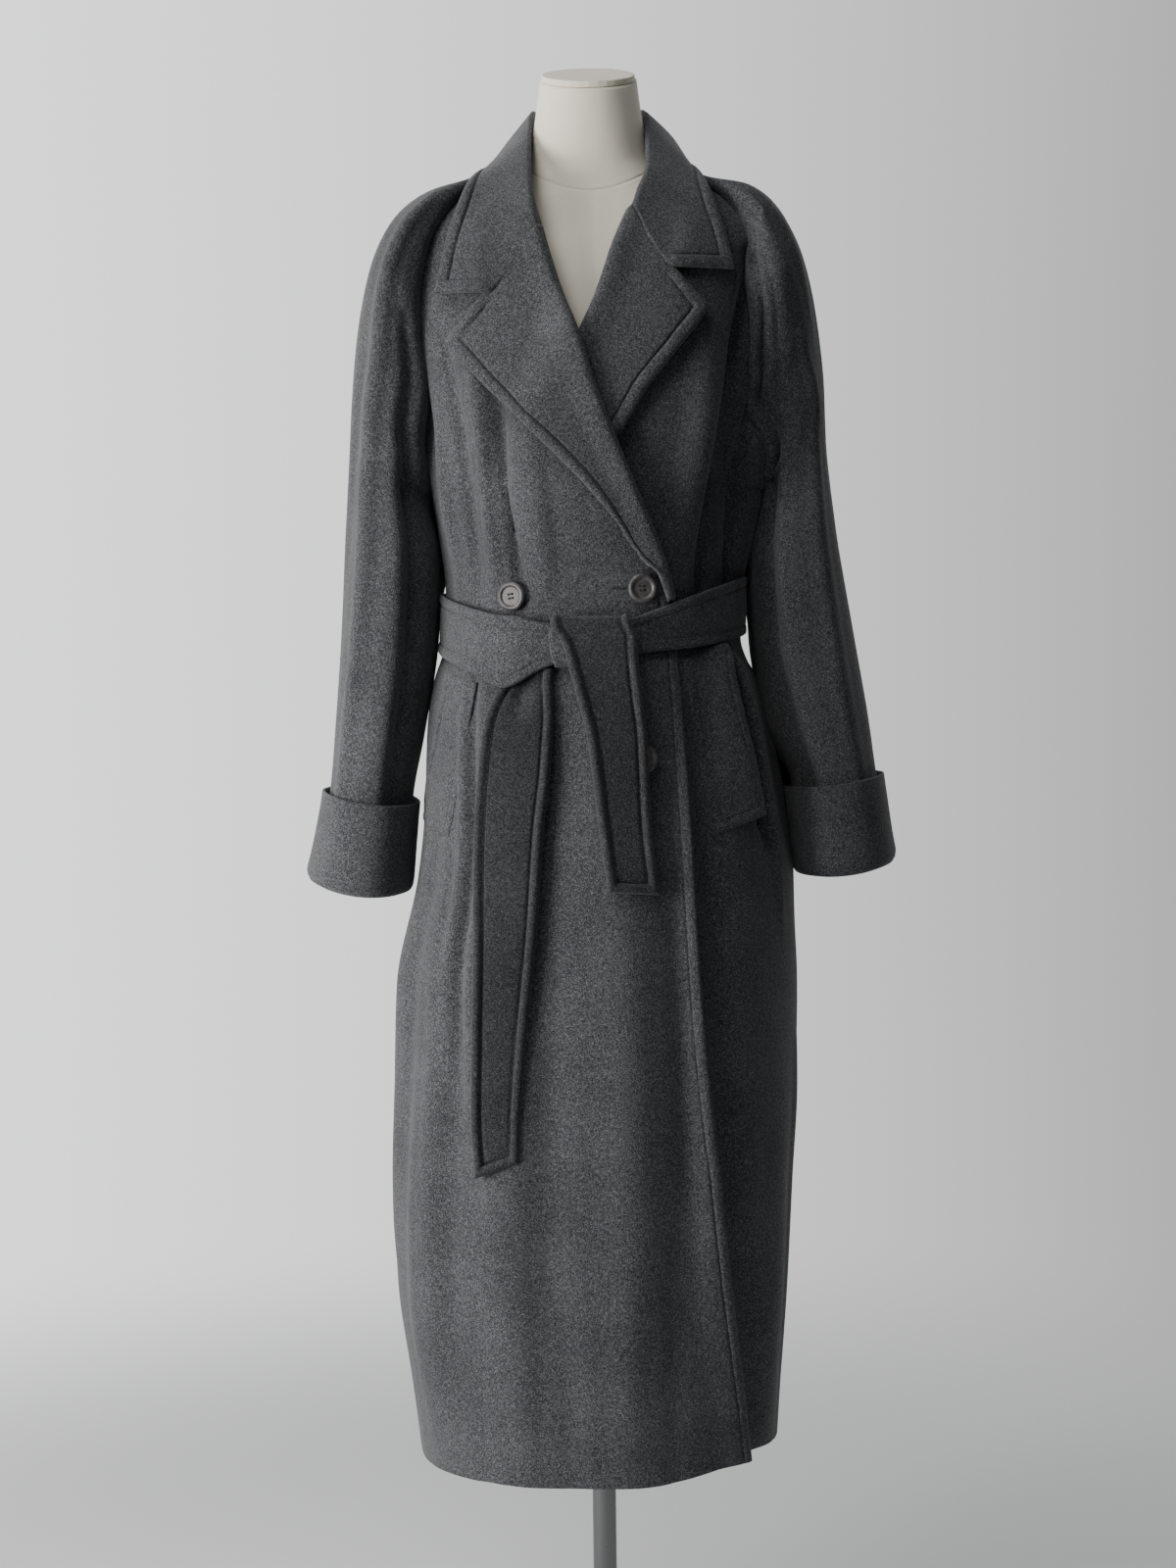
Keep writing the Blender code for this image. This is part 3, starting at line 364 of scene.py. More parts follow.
# %% Mesh of a piece
def mesh_piece(name, verts, faces, material):
    """Smooth mesh object from arrays of points and four-cornered faces, riding on the model."""
    mesh = bpy.data.meshes.new(name)
    mesh.vertices.add(len(verts))
    mesh.vertices.foreach_set("co", np.asarray(verts, np.float32).ravel())
    mesh.loops.add(faces.size)
    mesh.loops.foreach_set("vertex_index", faces.astype(np.int32).ravel())
    mesh.polygons.add(len(faces))
    mesh.polygons.foreach_set("loop_start", np.arange(0, faces.size, faces.shape[1], dtype=np.int32))
    mesh.update(calc_edges=True)
    mesh.validate()
    mesh.shade_smooth()
    mesh.materials.append(material)
    piece = bpy.data.objects.new(name, mesh)
    bpy.context.scene.collection.objects.link(piece)
    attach(piece, "root")
    return piece


# %% Borders and walls
def border(distance, puff=0.0008, groove=0.0009, line=STITCH_LINE, width=0.0009):
    """How far a stitched border stands out: a soft roll up to the line, then its groove."""
    roll = np.sin(np.pi * np.clip(distance / line, 0, 1)) ** 0.8 * (distance < line)
    return puff * roll - groove * bell(distance - line, width)


def wall(name, points, thickness, cloth, out=0.0, ring=False, flip=False):
    """Closed cloth from a grid of its middle surface, with its outer points and normals.

    Half the thickness h goes to each side, times sqrt(1 - (1 - d/h)^2) within h of the
    border, where d is the distance to it, so the two layers meet in a half round edge.
    out is extra height of the outer face.
    """
    half = thickness / 2
    normal = grid_normals(points, ring) * (-1 if flip else 1)
    edges = ("top", "bottom") if ring else ("top", "bottom", "first", "last")
    near = np.clip(edge_distance(points, *edges) / half, 0, 1)
    rounding = np.sqrt(1 - (1 - near) ** 2)[..., None]
    outer = points + normal * rounding * (half + np.broadcast_to(out, near.shape)[..., None])
    inner = points - normal * rounding * half
    numbers = np.arange(near.size).reshape(near.shape)
    inside = np.ones(near.shape, bool)
    inside[[0, -1]] = False
    if not ring:
        inside[:, [0, -1]] = False
    hidden = numbers.copy()
    hidden[inside] = near.size + np.arange(inside.sum())
    front = grid_faces(numbers, ring, flip)
    verts = np.concatenate((outer.reshape(-1, 3), inner[inside]))
    faces = np.concatenate((front, grid_faces(hidden, ring, not flip)))
    a, b, c, d = np.moveaxis(points.reshape(-1, 3)[front], 1, 0)
    area = 0.5 * np.linalg.norm(np.cross(c - a, d - b), axis=1).sum()
    tall, wide = run(points, 0)[-1].max(), run(points, 1)[:, -1].max()
    print(f"{name}: {tall:.3f} long, {wide:.3f} wide, area {area:.3f}, faces {len(faces)}")
    return mesh_piece(name, verts, faces, cloth), outer, normal


# %% Stitches
STITCH_PITCH = 0.0036
STITCH_LENGTH = 0.0025
STITCH_RADIUS = 0.00042
BAR_PLACES = (0.0, 0.15, 0.85, 1.0)      # rings of a bar, as shares of its length
BAR_SIZES = (0.25, 1.0, 1.0, 0.25)       # and of its radius


def thread_bars(name, bars, radius, material):
    """One mesh of six-sided thread bars from (start, end, normal) arrays of points."""
    start, end, up = [np.concatenate([bar[k] for bar in bars]) for k in range(3)]
    ahead = unit(end - start)
    side = unit(np.cross(ahead, up))
    up = np.cross(side, ahead)
    angle = np.arange(6) * np.pi / 3
    circle = side[:, None] * np.cos(angle)[None, :, None] + up[:, None] * np.sin(angle)[None, :, None]
    rings = [
        (start + (end - start) * place)[:, None] + circle * radius * size
        for place, size in zip(BAR_PLACES, BAR_SIZES)
    ]
    sides = grid_faces(np.arange(24).reshape(4, 6), ring=True)
    caps = np.array([[3, 2, 1, 0], [5, 4, 3, 0], [18, 19, 20, 21], [18, 21, 22, 23]])
    one = np.concatenate((sides, caps))
    faces = (one[None] + 24 * np.arange(len(start))[:, None, None]).reshape(-1, 4)
    print(name, len(start), "bars")
    return mesh_piece(name, np.stack(rings, axis=1).reshape(-1, 3), faces, material)


def stitch_rows(name, rows, material):
    """Short stitches laid end to end along lines of points with their normals."""
    bars = []
    for path, normal in rows:
        far = run(path[:, None], 0)[:, 0]
        middle = np.arange(STITCH_PITCH, far[-1] - STITCH_PITCH, STITCH_PITCH)
        start, end = [
            np.stack([np.interp(middle + shift, far, path[:, k]) for k in range(3)], axis=-1)
            for shift in (-STITCH_LENGTH / 2, STITCH_LENGTH / 2)
        ]
        share = np.interp(middle, [0, far[-1]], [0, len(path) - 1]).round().astype(int)
        bars.append((start, end, normal[share]))
    return thread_bars(name, bars, STITCH_RADIUS, material)


def closed(line):
    """A line of points with its first point added at the end."""
    return np.concatenate((line, line[:1]))


# %% [markdown]
# ## Materials
#
# The wool is a melange: dark and light fibres mixed in spots about a millimetre across, with
# slower drifts of tone and a felted nap. A picture of cloth would need a flat layout of every
# piece and shows its repeat. Noise on Object coordinates has the same size on every piece and
# never repeats, so three noises are mixed to one tone and a ramp turns it into colour. The
# nap is a fine bump with a faint sheen. The thread is a shade darker. The belt's two ends get
# the same darker wool as painted shade, for ends that hang turned away from the light.
#
# The form is cream linen with a fine weave. The buttons are grey-brown horn with cloudy
# streaks, and the stand is brushed steel, whose grain is a noise drawn out along the pole.


# %% Textures
def object_place(tree):
    """Object coordinates, which stay put on a piece whose points are in metres."""
    return add_node(tree, "ShaderNodeTexCoord").outputs["Object"]


def noise(tree, place, scale, detail, **inputs):
    """Grey value of a noise texture."""
    node = add_node(tree, "ShaderNodeTexNoise", Vector=place, Scale=scale, Detail=detail, **inputs)
    return node.outputs["Fac"]


def arithmetic(tree, operation, *values):
    """Result of a Math node on values or sockets."""
    node = add_node(tree, "ShaderNodeMath", {"operation": operation})
    for value, socket in zip(values, node.inputs):
        connect(tree, value, socket)
    return node.outputs["Value"]


def colour_steps(tree, value, *stops):
    """Colour ramp through (position, colour) stops."""
    steps = add_node(tree, "ShaderNodeValToRGB", Fac=value)
    marks = steps.color_ramp.elements
    while len(marks) < len(stops):
        marks.new(0.5)
    for mark, (place, colour) in zip(marks, stops):
        mark.position = place
        mark.color = (*colour, 1)
    return steps.outputs["Color"]


def bump(tree, shader, height, strength, distance):
    """Let a height roughen the shader's normal."""
    node = add_node(tree, "ShaderNodeBump", Height=height, Strength=strength, Distance=distance)
    tree.links.new(node.outputs["Normal"], shader.inputs["Normal"])


# %% Wool coating
WOOL_COLOURS = (
    # tone, colour
    (0.50, (0.0088, 0.0092, 0.0104)),
    (0.70, (0.0350, 0.0362, 0.0398)),
    (0.97, (0.1650, 0.1690, 0.1780)),
)
SPOTS, CLUMPS, DRIFT, NAP = 1150.0, 430.0, 14.0, 1500.0     # noise scales, cells in a metre
CLUMP_SHARE = 0.35
DRIFT_SHARE = 0.12
THREAD_TONE_AND_PAINTED_SHADE = 0.55      # thread, and painted shade on the belt's two ends, against the wool


def wool_material(name, shade=1.0):
    """Melange wool: tone = spots + 0.35 clumps + 0.12 drift, through the ramp; shade darkens."""
    material, tree, shader = principled(
        name, (0.04, 0.04, 0.043), 0.93, Sheen_Weight=0.22, Sheen_Roughness=0.45,
        Sheen_Tint=(0.75, 0.77, 0.80, 1), Specular_IOR_Level=0.12,
    )
    place = object_place(tree)
    spots = noise(tree, place, SPOTS, 2.0, Roughness=0.6)
    clumps = noise(tree, place, CLUMPS, 2.0, Roughness=0.6)
    drift = noise(tree, place, DRIFT, 2.0, Roughness=0.5)
    near = arithmetic(tree, "MULTIPLY_ADD", clumps, CLUMP_SHARE, spots)
    tone = arithmetic(tree, "MULTIPLY_ADD", drift, DRIFT_SHARE, near)
    stops = [(at, tuple(shade * value for value in colour)) for at, colour in WOOL_COLOURS]
    tree.links.new(colour_steps(tree, tone, *stops), shader.inputs["Base Color"])
    nap = noise(tree, place, NAP, 2.0, Roughness=0.7)
    bump(tree, shader, arithmetic(tree, "ADD", nap, clumps), 0.55, 0.0007)
    return material


wool = wool_material("wool_charcoal")
thread = wool_material("wool_thread", THREAD_TONE_AND_PAINTED_SHADE)
# Darker copy of the wool: painted shade on the belt's two hanging ends.
painted_shade_wool = wool_material("wool_painted_shade", THREAD_TONE_AND_PAINTED_SHADE)
print("wool:", [material.name for material in (wool, thread, painted_shade_wool)])

# %% Linen
linen, tree, shader = principled("form_linen", (0.62, 0.58, 0.52), 0.88, Sheen_Weight=0.15)
place = object_place(tree)
stain = noise(tree, place, 9.0, 4.0, Roughness=0.6)
colour = colour_steps(tree, stain, (0.3, (0.80, 0.75, 0.62)), (0.75, (0.86, 0.81, 0.69)))
tree.links.new(colour, shader.inputs["Base Color"])
yarns = [
    add_node(
        tree, "ShaderNodeTexWave", {"bands_direction": axis}, Vector=place, Scale=330.0,
        Distortion=1.2, Detail=1.0,
    ).outputs["Fac"]
    for axis in ("X", "Z")
]
bump(tree, shader, arithmetic(tree, "ADD", *yarns), 0.35, 0.0003)

# %% Horn
horn, tree, shader = principled(
    "button_horn", (0.07, 0.065, 0.065), 0.50, Coat_Weight=0.08, Coat_Roughness=0.25
)
cloud = noise(tree, object_place(tree), 95.0, 3.0, Distortion=1.4)
colour = colour_steps(
    tree, cloud, (0.32, (0.038, 0.035, 0.035)), (0.55, (0.072, 0.066, 0.066)),
    (0.80, (0.125, 0.115, 0.112)),
)
tree.links.new(colour, shader.inputs["Base Color"])

# %% Steel
steel, tree, shader = principled("steel", (0.17, 0.17, 0.175), 0.3, Metallic=1.0, Anisotropic=0.5)
drawn = add_node(tree, "ShaderNodeMapping", Vector=object_place(tree), Scale=(60.0, 60.0, 900.0))
grain = noise(tree, drawn.outputs["Vector"], 1.0, 3.0)
tree.links.new(map_range(tree, grain, 0.0, 1.0, 0.22, 0.42), shader.inputs["Roughness"])
bump(tree, shader, grain, 0.12, 0.0002)
print("other materials:", [material.name for material in (linen, horn, steel)])

# %% [markdown]
# ## The body of the coat
#
# The real body is three panels, two fronts and a back, sewn at the sides and to the sleeves.
# The cloth simulation could drape them over the form, but it wouldn't put the folds in chosen
# places. So fronts and back share one surface. At each height its section is a squared oval
# with its own half width on each side and its own depth in front and behind:
# x = w sin(a)^(2/n), y = -d cos(a)^(2/n). Large folds and finer creases then move the cloth
# out or in along the surface's own normal, and each panel takes its part of the surface.

# %% Sizes of the cloth
CLOTH = 0.0025           # wool coating, one layer
FACED = 0.0040           # cloth with its facing: lapels, collar, belt
GAP = 0.0010             # air between layers that lie on each other
LAID = 0.0018            # air under lapels and welts
SEAM = 0.0004            # air between pieces that are sewn edge to edge
HEM = 0.233              # heights above the floor
ARMPIT = 1.120
NECK_EDGE = 1.405        # where the free edges of the fronts end at the neck
BACK_NECK = 1.428
print("back length:", round(BACK_NECK - HEM, 3), "m from neck to hem")

# %% Sections of the body
BODY_ROWS = (
    # height, right, left, front, back, square
    (0.233, 0.1695, 0.1600, 0.151, 0.150, 2.25),
    (0.290, 0.1775, 0.1620, 0.154, 0.154, 2.25),
    (0.390, 0.1905, 0.1675, 0.157, 0.160, 2.25),
    (0.482, 0.1925, 0.1735, 0.158, 0.164, 2.25),
    (0.574, 0.1895, 0.1815, 0.158, 0.166, 2.25),
    (0.666, 0.1865, 0.1845, 0.157, 0.166, 2.25),
    (0.767, 0.1655, 0.1790, 0.153, 0.161, 2.25),
    (0.822, 0.1595, 0.1715, 0.148, 0.154, 2.25),
    (0.905, 0.1560, 0.1580, 0.137, 0.141, 2.30),
    (0.945, 0.1500, 0.1490, 0.129, 0.131, 2.30),
    (0.985, 0.1385, 0.1355, 0.120, 0.119, 2.30),
    (1.030, 0.1375, 0.1360, 0.122, 0.114, 2.35),
    (1.080, 0.1430, 0.1420, 0.128, 0.117, 2.40),
    (1.120, 0.1500, 0.1480, 0.132, 0.121, 2.40),
    (1.170, 0.1590, 0.1570, 0.135, 0.127, 2.40),
    (1.220, 0.1720, 0.1690, 0.132, 0.130, 2.35),
    (1.270, 0.1830, 0.1790, 0.124, 0.130, 2.30),
    (1.310, 0.1880, 0.1840, 0.114, 0.126, 2.30),
    (1.350, 0.1880, 0.1840, 0.098, 0.117, 2.30),
    (1.380, 0.1700, 0.1670, 0.080, 0.103, 2.20),
    (1.400, 0.1430, 0.1400, 0.063, 0.091, 2.20),
    (1.415, 0.1150, 0.1130, 0.049, 0.081, 2.20),
    (1.430, 0.0850, 0.0840, 0.038, 0.073, 2.20),
)
print("body:", len(BODY_ROWS), "sections from", BODY_ROWS[0][0], "to", BODY_ROWS[-1][0], "m")

# %% Large folds of the body
# Place round the body in degrees from the front, minus to the wearer's right.
BODY_FOLDS = (
    # around, half_width, centre, half_length, out
    (38.0, 15.0, 1.165, 0.130, 0.0100),
    (56.0, 11.0, 1.160, 0.130, -0.0120),
    (72.0, 10.0, 1.130, 0.100, 0.0060),
    (-66.0, 13.0, 1.140, 0.100, 0.0060),
    (-56.0, 17.0, 0.420, 0.260, 0.0090),
    (66.0, 16.0, 0.400, 0.240, 0.0070),
    (-80.0, 12.0, 0.330, 0.130, -0.0060),
    (139.0, 17.0, 1.130, 0.120, 0.0090),
    (-141.0, 17.0, 1.125, 0.120, 0.0080),
    (150.0, 17.0, 0.600, 0.330, 0.0110),
    (177.0, 15.0, 0.640, 0.300, -0.0080),
    (-154.0, 16.0, 0.560, 0.320, 0.0100),
    (-129.0, 15.0, 0.600, 0.300, -0.0080),
    (123.0, 15.0, 0.560, 0.300, -0.0070),
)
print("large folds:", len(BODY_FOLDS))

# %% Creases of the body
# Creases run from a top point to a bottom point and fade out at both ends.
BODY_CREASES = (
    # around_top, height_top, around_bottom, height_bottom, half_width, out
    (50.5, 1.340, 40.0, 0.960, 6.5, -0.0150),
    (54.0, 1.340, 50.0, 0.960, 24.0, -0.0130),
    (-62.0, 1.345, -66.0, 1.080, 10.0, -0.0120),
    (76.0, 1.230, 80.0, 1.000, 8.0, 0.0080),
    (59.0, 1.300, 52.0, 0.985, 5.0, 0.0050),
    (69.0, 1.260, 62.0, 0.985, 5.0, -0.0130),
    (-34.5, 1.260, -36.0, 0.985, 5.0, 0.0055),
    (-27.0, 1.230, -24.0, 0.975, 5.5, -0.0080),
    (-17.0, 1.170, -14.0, 0.990, 6.0, 0.0035),
    (-44.0, 1.270, -46.0, 0.985, 5.5, -0.0055),
    (-60.0, 1.300, -62.0, 0.985, 6.0, 0.0040),
    (-49.0, 0.960, -47.0, 0.200, 8.0, 0.0045),
    (-62.0, 0.900, -64.0, 0.200, 7.0, -0.0040),
    (-74.0, 0.940, -76.0, 0.220, 8.0, 0.0035),
    (54.5, 0.985, 58.0, 0.785, 4.6, -0.0235),
    (60.0, 0.985, 64.5, 0.700, 4.6, 0.0090),
    (78.0, 0.975, 82.0, 0.760, 8.0, -0.0030),
    (93.0, 0.960, 96.0, 0.690, 13.0, 0.0080),
    (-36.5, 0.970, -33.0, 0.480, 4.2, 0.0046),
    (-41.5, 0.970, -37.5, 0.500, 4.2, -0.0045),
    (-46.5, 0.970, -42.0, 0.560, 4.2, 0.0032),
    (-52.0, 0.965, -47.0, 0.600, 4.5, -0.0030),
    (78.0, 0.620, 80.0, 0.210, 6.0, 0.0050),
    (-12.0, 0.900, -10.5, 0.220, 9.0, -0.0060),
    (-25.0, 0.900, -23.5, 0.220, 9.0, 0.0040),
    (3.5, 0.920, 9.0, 0.220, 10.5, 0.0060),
    (20.0, 0.920, 25.0, 0.220, 9.0, -0.0055),
    (-33.0, 0.380, -34.0, 0.180, 6.0, -0.0018),
    (-20.0, 0.420, -20.0, 0.180, 7.0, 0.0018),
    (-7.0, 0.400, -7.0, 0.180, 6.0, -0.0018),
    (5.0, 0.450, 6.0, 0.180, 7.0, 0.0018),
    (18.0, 0.500, 20.0, 0.180, 6.0, -0.0018),
    (140.0, 1.300, 136.0, 0.990, 8.0, 0.0060),
    (126.0, 1.280, 124.0, 0.990, 6.0, -0.0080),
    (-138.0, 1.310, -134.0, 0.990, 8.0, 0.0060),
    (-124.0, 1.290, -122.0, 0.990, 6.0, -0.0070),
    (160.0, 0.960, 156.0, 0.250, 8.0, 0.0060),
    (-165.0, 0.960, -160.0, 0.300, 8.0, 0.0050),
    (178.0, 0.960, 176.0, 0.400, 7.0, -0.0060),
    (112.0, 0.940, 110.0, 0.260, 7.0, 0.0050),
    (-113.0, 0.940, -110.0, 0.300, 7.0, 0.0050),
)
print("creases:", len(BODY_CREASES))


# %% Sizes, folds and creases at a place
def body_sizes(height):
    """Half widths right and left, depths in front and behind, and squareness at each height."""
    return at_place(BODY_ROWS, height)


def folds(around, height):
    """How far the large folds stand out: a sum of soft cos^2 ridges and hollows."""
    total = np.zeros(np.broadcast(around, height).shape)
    for place, half_width, centre, half_length, out in BODY_FOLDS:
        across = (around - place + 180.0) % 360.0 - 180.0
        side = np.clip(across / half_width, -1, 1)
        along = np.clip((height - centre) / half_length, -1, 1)
        total += out * np.cos(np.pi * side / 2) ** 2 * np.cos(np.pi * along / 2) ** 2
    return total


def creases(rows, along, down):
    """Sum of out * cos^2 ridges: each follows a straight line between its two end points in
    (along, down), half_width to each side. Along it the height is the sine of the way to the
    power 0.5 in the first half and 1.3 in the second, so it starts soon and dies out slowly."""
    total = np.zeros(np.broadcast(along, down).shape)
    for start, top, stop, bottom, half_width, out in rows:
        share = np.clip((down - top) / (bottom - top), 0, 1)
        aside = np.clip((along - start - (stop - start) * share) / half_width, -1, 1)
        swell = np.maximum(np.sin(np.pi * share), 0) ** np.where(share < 0.5, 0.5, 1.3)
        total += out * np.cos(np.pi * aside / 2) ** 2 * swell
    return total


# %% Points of the body
def oval(around, height):
    """Point of the smooth section: a squared oval with its own size on each of four sides."""
    right, left, front, back, square = body_sizes(height)
    angle = np.radians(around)
    across = power(np.sin(angle), 2 / square) * np.where(np.sin(angle) < 0, right, left)
    deep = -power(np.cos(angle), 2 / square) * np.where(np.cos(angle) > 0, front, back)
    return np.stack(np.broadcast_arrays(across, deep, height), axis=-1)


def outward(surface, around, height):
    """Unit normal of a surface(around, height), from small central steps."""
    turn, rise = 0.4, 0.0008
    along = surface(around + turn, height) - surface(around - turn, height)
    up = surface(around, height + rise) - surface(around, height - rise)
    return unit(np.cross(along, up))


def folded(around, height, creased=1.0):
    """The smooth section with its folds and creases moved out along the normal."""
    out = folds(around, height) + creased * creases(BODY_CREASES, around, height)
    return oval(around, height) + outward(oval, around, height) * out[..., None]


def body(around, height, out, creased=1.0):
    """Point of the body surface, moved out by a distance. creased 0 leaves the creases out,
    as a stiff piece does that bridges them."""
    out = np.broadcast_to(out, np.broadcast(around, height).shape)
    surface = lambda turn, rise: folded(turn, rise, creased)
    return folded(around, height, creased) + outward(surface, around, height) * out[..., None]


def around_at(across, height):
    """Place round the front, in degrees, that lies at a distance across."""
    right, left, _, _, square = body_sizes(height)
    half = np.where(across < 0, right, left)
    return np.degrees(np.arcsin(np.clip(power(across / half, square / 2), -1, 1)))


round_body = np.linspace(-180, 180, 361)[None, :]
girths = run(body(round_body, np.array([[HEM], [0.985], [ARMPIT]]), 0.0), 1)[:, -1]
print("girth at hem, waist and armpit:", np.round(girths, 3))

# %% Edges and seams of the fronts and back
RAGLAN_ROWS = (
    # height, front_right, front_left, back
    (1.120, 0.1500, 0.1480, 0.1490),
    (1.165, 0.1520, 0.1500, 0.1460),
    (1.220, 0.1560, 0.1520, 0.1440),
    (1.285, 0.1550, 0.1500, 0.1390),
    (1.335, 0.1480, 0.1450, 0.1290),
    (1.370, 0.1330, 0.1340, 0.1150),
    (1.395, 0.1110, 0.1120, 0.0970),
    (1.412, 0.0860, 0.0860, 0.0780),
)
RIGHT_EDGE_ROWS = (
    # height, across
    (0.233, 0.1230),
    (0.292, 0.1178),
    (0.463, 0.1027),
    (0.635, 0.0917),
    (0.859, 0.0789),
    (0.966, 0.0715),
    (1.0135, 0.0650),
    (1.0370, 0.0597),
    (1.1015, 0.0360),
    (1.1800, 0.0060),
    (1.2440, -0.0140),
    (1.2850, -0.0285),
    (1.3200, -0.0400),
    (1.3450, -0.0462),
    (1.3830, -0.0560),
    (1.4050, -0.0610),
)
LEFT_EDGE_ROWS = (
    # height, across
    (0.233, -0.0950),
    (0.463, -0.0880),
    (0.859, -0.0780),
    (0.990, -0.0700),
    (1.0500, -0.0640),
    (1.1200, -0.0500),
    (1.1800, -0.0340),
    (1.2440, -0.0095),
    (1.2900, 0.0110),
    (1.3310, 0.0247),
    (1.3660, 0.0430),
    (1.4050, 0.0550),
)
print("the fronts overlap by", round(RIGHT_EDGE_ROWS[0][1] - LEFT_EDGE_ROWS[0][1], 3), "m at the hem")


# %% Places of the edges and seams
def right_edge(height):
    """Distance across of the right front's edge."""
    return at_place(RIGHT_EDGE_ROWS, height)[0]


def left_edge(height):
    """Distance across of the left front's hidden edge."""
    return at_place(LEFT_EDGE_ROWS, height)[0]


def seam_around(height, across, back=False):
    """Place round the body of a side seam and the raglan seam above it, as a positive angle."""
    place = np.where(height <= ARMPIT, 90.0, np.abs(around_at(across, height)))
    return 180.0 - place if back else place


def raglan_across(height, side, back=False):
    """Distance across of a raglan seam; side is -1 for the right, 1 for the left."""
    wanted = 3 if back else (1 if side < 0 else 2)
    return side * at_place(RAGLAN_ROWS, height, [wanted])[0]


def seam_turn(height):
    """Half a seam's air, as an angle round the body."""
    return np.degrees(0.5 * SEAM / body_sizes(height)[3])


# %% How the fronts lie on each other
OVERLAP_SLOPE = (-0.048, -0.008)   # across from the left front's edge, where the lift comes in
OVERLAP_TOP = (1.255, 1.31)        # heights over which it ends at the neck
LAPEL_BETWEEN = (1.05, 1.12)       # heights from which the left lapel lies between them
EDGE_FLARE = 0.0075                # how far the right front's free edge stands off
FLARE_WIDTH = 0.026
FLARE_TOP = (0.78, 0.96)           # heights over which the flare ends below the belt
HOLLOW_DEPTH = 0.0100              # of the left front beside that edge
HOLLOW_WIDTH = 0.050
HOLLOW_START = -0.012
HOLLOW_TOP = (0.86, 0.96)
HOLLOW_BOTTOM = (0.16, 0.30)


def overlap(across, height):
    """How far the right front is lifted: by the left front and the left lapel under it, and
    by the flare of its own free edge below the belt."""
    under = ramp(*OVERLAP_SLOPE, across - left_edge(height)) * (1 - ramp(*OVERLAP_TOP, height))
    lapel = ramp(*LAPEL_BETWEEN, height)
    near_edge = ramp(-FLARE_WIDTH, 0.0, across - right_edge(height))
    flare = EDGE_FLARE * near_edge * (1 - ramp(*FLARE_TOP, height))
    return under * (CLOTH + GAP + lapel * (FACED + LAID)) + flare


def sunk(across, height):
    """Lift of the left front: below the belt it falls back into a hollow beside the edge."""
    share = np.clip((across - right_edge(height) - HOLLOW_START) / HOLLOW_WIDTH, 0, 1)
    hollow = np.sin(np.pi * share) ** 2
    return -HOLLOW_DEPTH * hollow * (1 - ramp(*HOLLOW_TOP, height)) * ramp(*HOLLOW_BOTTOM, height)


def flat(across, height):
    """No lift: a piece that lies on the body surface itself."""
    return 0.0 * across


# %% Surfaces of the fronts and back
HEM_RISE = 0.013         # how far the hem rises towards the right front's edge
RISE_ACROSS = (0.03, 0.14)
RISE_HEIGHT = 0.25       # above the hem the rise has died out


def front_surface(side, edge, lift):
    """Surface of a front: rows run hem to neck, shares from its free edge to its side seam."""
    def surface(rows, share):
        edge_height = HEM + rows * (NECK_EDGE - HEM)
        seam_height = HEM + rows * (RAGLAN_ROWS[-1][0] - HEM)
        edge_around = around_at(edge(edge_height), edge_height)
        seam = side * (seam_around(seam_height, raglan_across(seam_height, side)) - seam_turn(seam_height))
        around = edge_around * (1 - share) + seam * share
        height = edge_height * (1 - share) + seam_height * share
        across = oval(around, height)[..., 0]
        rise = ramp(*RISE_ACROSS, across) * (1 - ramp(HEM, HEM + RISE_HEIGHT, height))
        height = height + HEM_RISE * rise
        return body(around, height, lift(across, height))
    return surface


def back_surface(rows, share):
    """Surface of the back: rows run hem to neck, shares from the left side seam to the right."""
    seam_height = HEM + rows * (RAGLAN_ROWS[-1][0] - HEM)
    middle = HEM + rows * (BACK_NECK - HEM)
    bow = np.sin(np.pi * share) ** 0.7
    height = seam_height * (1 - bow) + middle * bow
    left, right = [
        seam_around(seam_height, raglan_across(seam_height, side, True), True) + seam_turn(seam_height)
        for side in (1, -1)
    ]
    return body(left * (1 - share) + (360.0 - right) * share, height, 0.0)


# %% Make the fronts and back
BODY_STEP = 0.0047
BORDER_END = (1.020, 1.045)      # heights over which the stitched border ends under the lapel
STITCHES_END = 1.03

body_rows = spaced(NECK_EDGE - HEM, BODY_STEP)[:, None] / (NECK_EDGE - HEM)
edge_to_seam = lambda lengths: spaced(lengths, BODY_STEP, EDGE_STEPS, PLAIN_STEPS)
seam_to_seam = lambda lengths: spaced(lengths, BODY_STEP)

points, _, distance = by_distance(front_surface(-1, right_edge, overlap), body_rows, edge_to_seam)
stitched = 1 - ramp(*BORDER_END, points[..., 2])
piece, outer, normal = wall(
    "front_right_cloth", points, CLOTH, wool, out=border(distance) * stitched, flip=True
)
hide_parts("front_right")
below = points[:, 0, 2] < STITCHES_END
front_stitches = [(outer[below, STITCH_STEP], normal[below, STITCH_STEP])]

points, _, _ = by_distance(front_surface(1, left_edge, sunk), body_rows, edge_to_seam)
piece, _, _ = wall("front_left_cloth", points, CLOTH, wool)
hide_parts("front_left")

points, _, _ = by_distance(back_surface, body_rows, seam_to_seam)
piece, _, _ = wall("back_cloth", points, CLOTH, wool)
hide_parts("back")

# %% [markdown]
# ## Sleeves and cuffs
#
# A raglan sleeve is cut up to the neck, so it has no shoulder seam and its fold lines fall
# straight from the neck to the wrist. It could be a bent tube, but a tube wouldn't meet the
# slanted seams of the body. So its section at each row is four quarter ovals that start and
# end on those seams: front seam to front bulge, over the arm, to the back bulge, to the back
# seam. Below the armpit both seams meet under the arm.
#
# The cuff is the sleeve's end turned back. Its profile comes up inside the sleeve, rolls round
# the wrist edge and goes up on the outside.

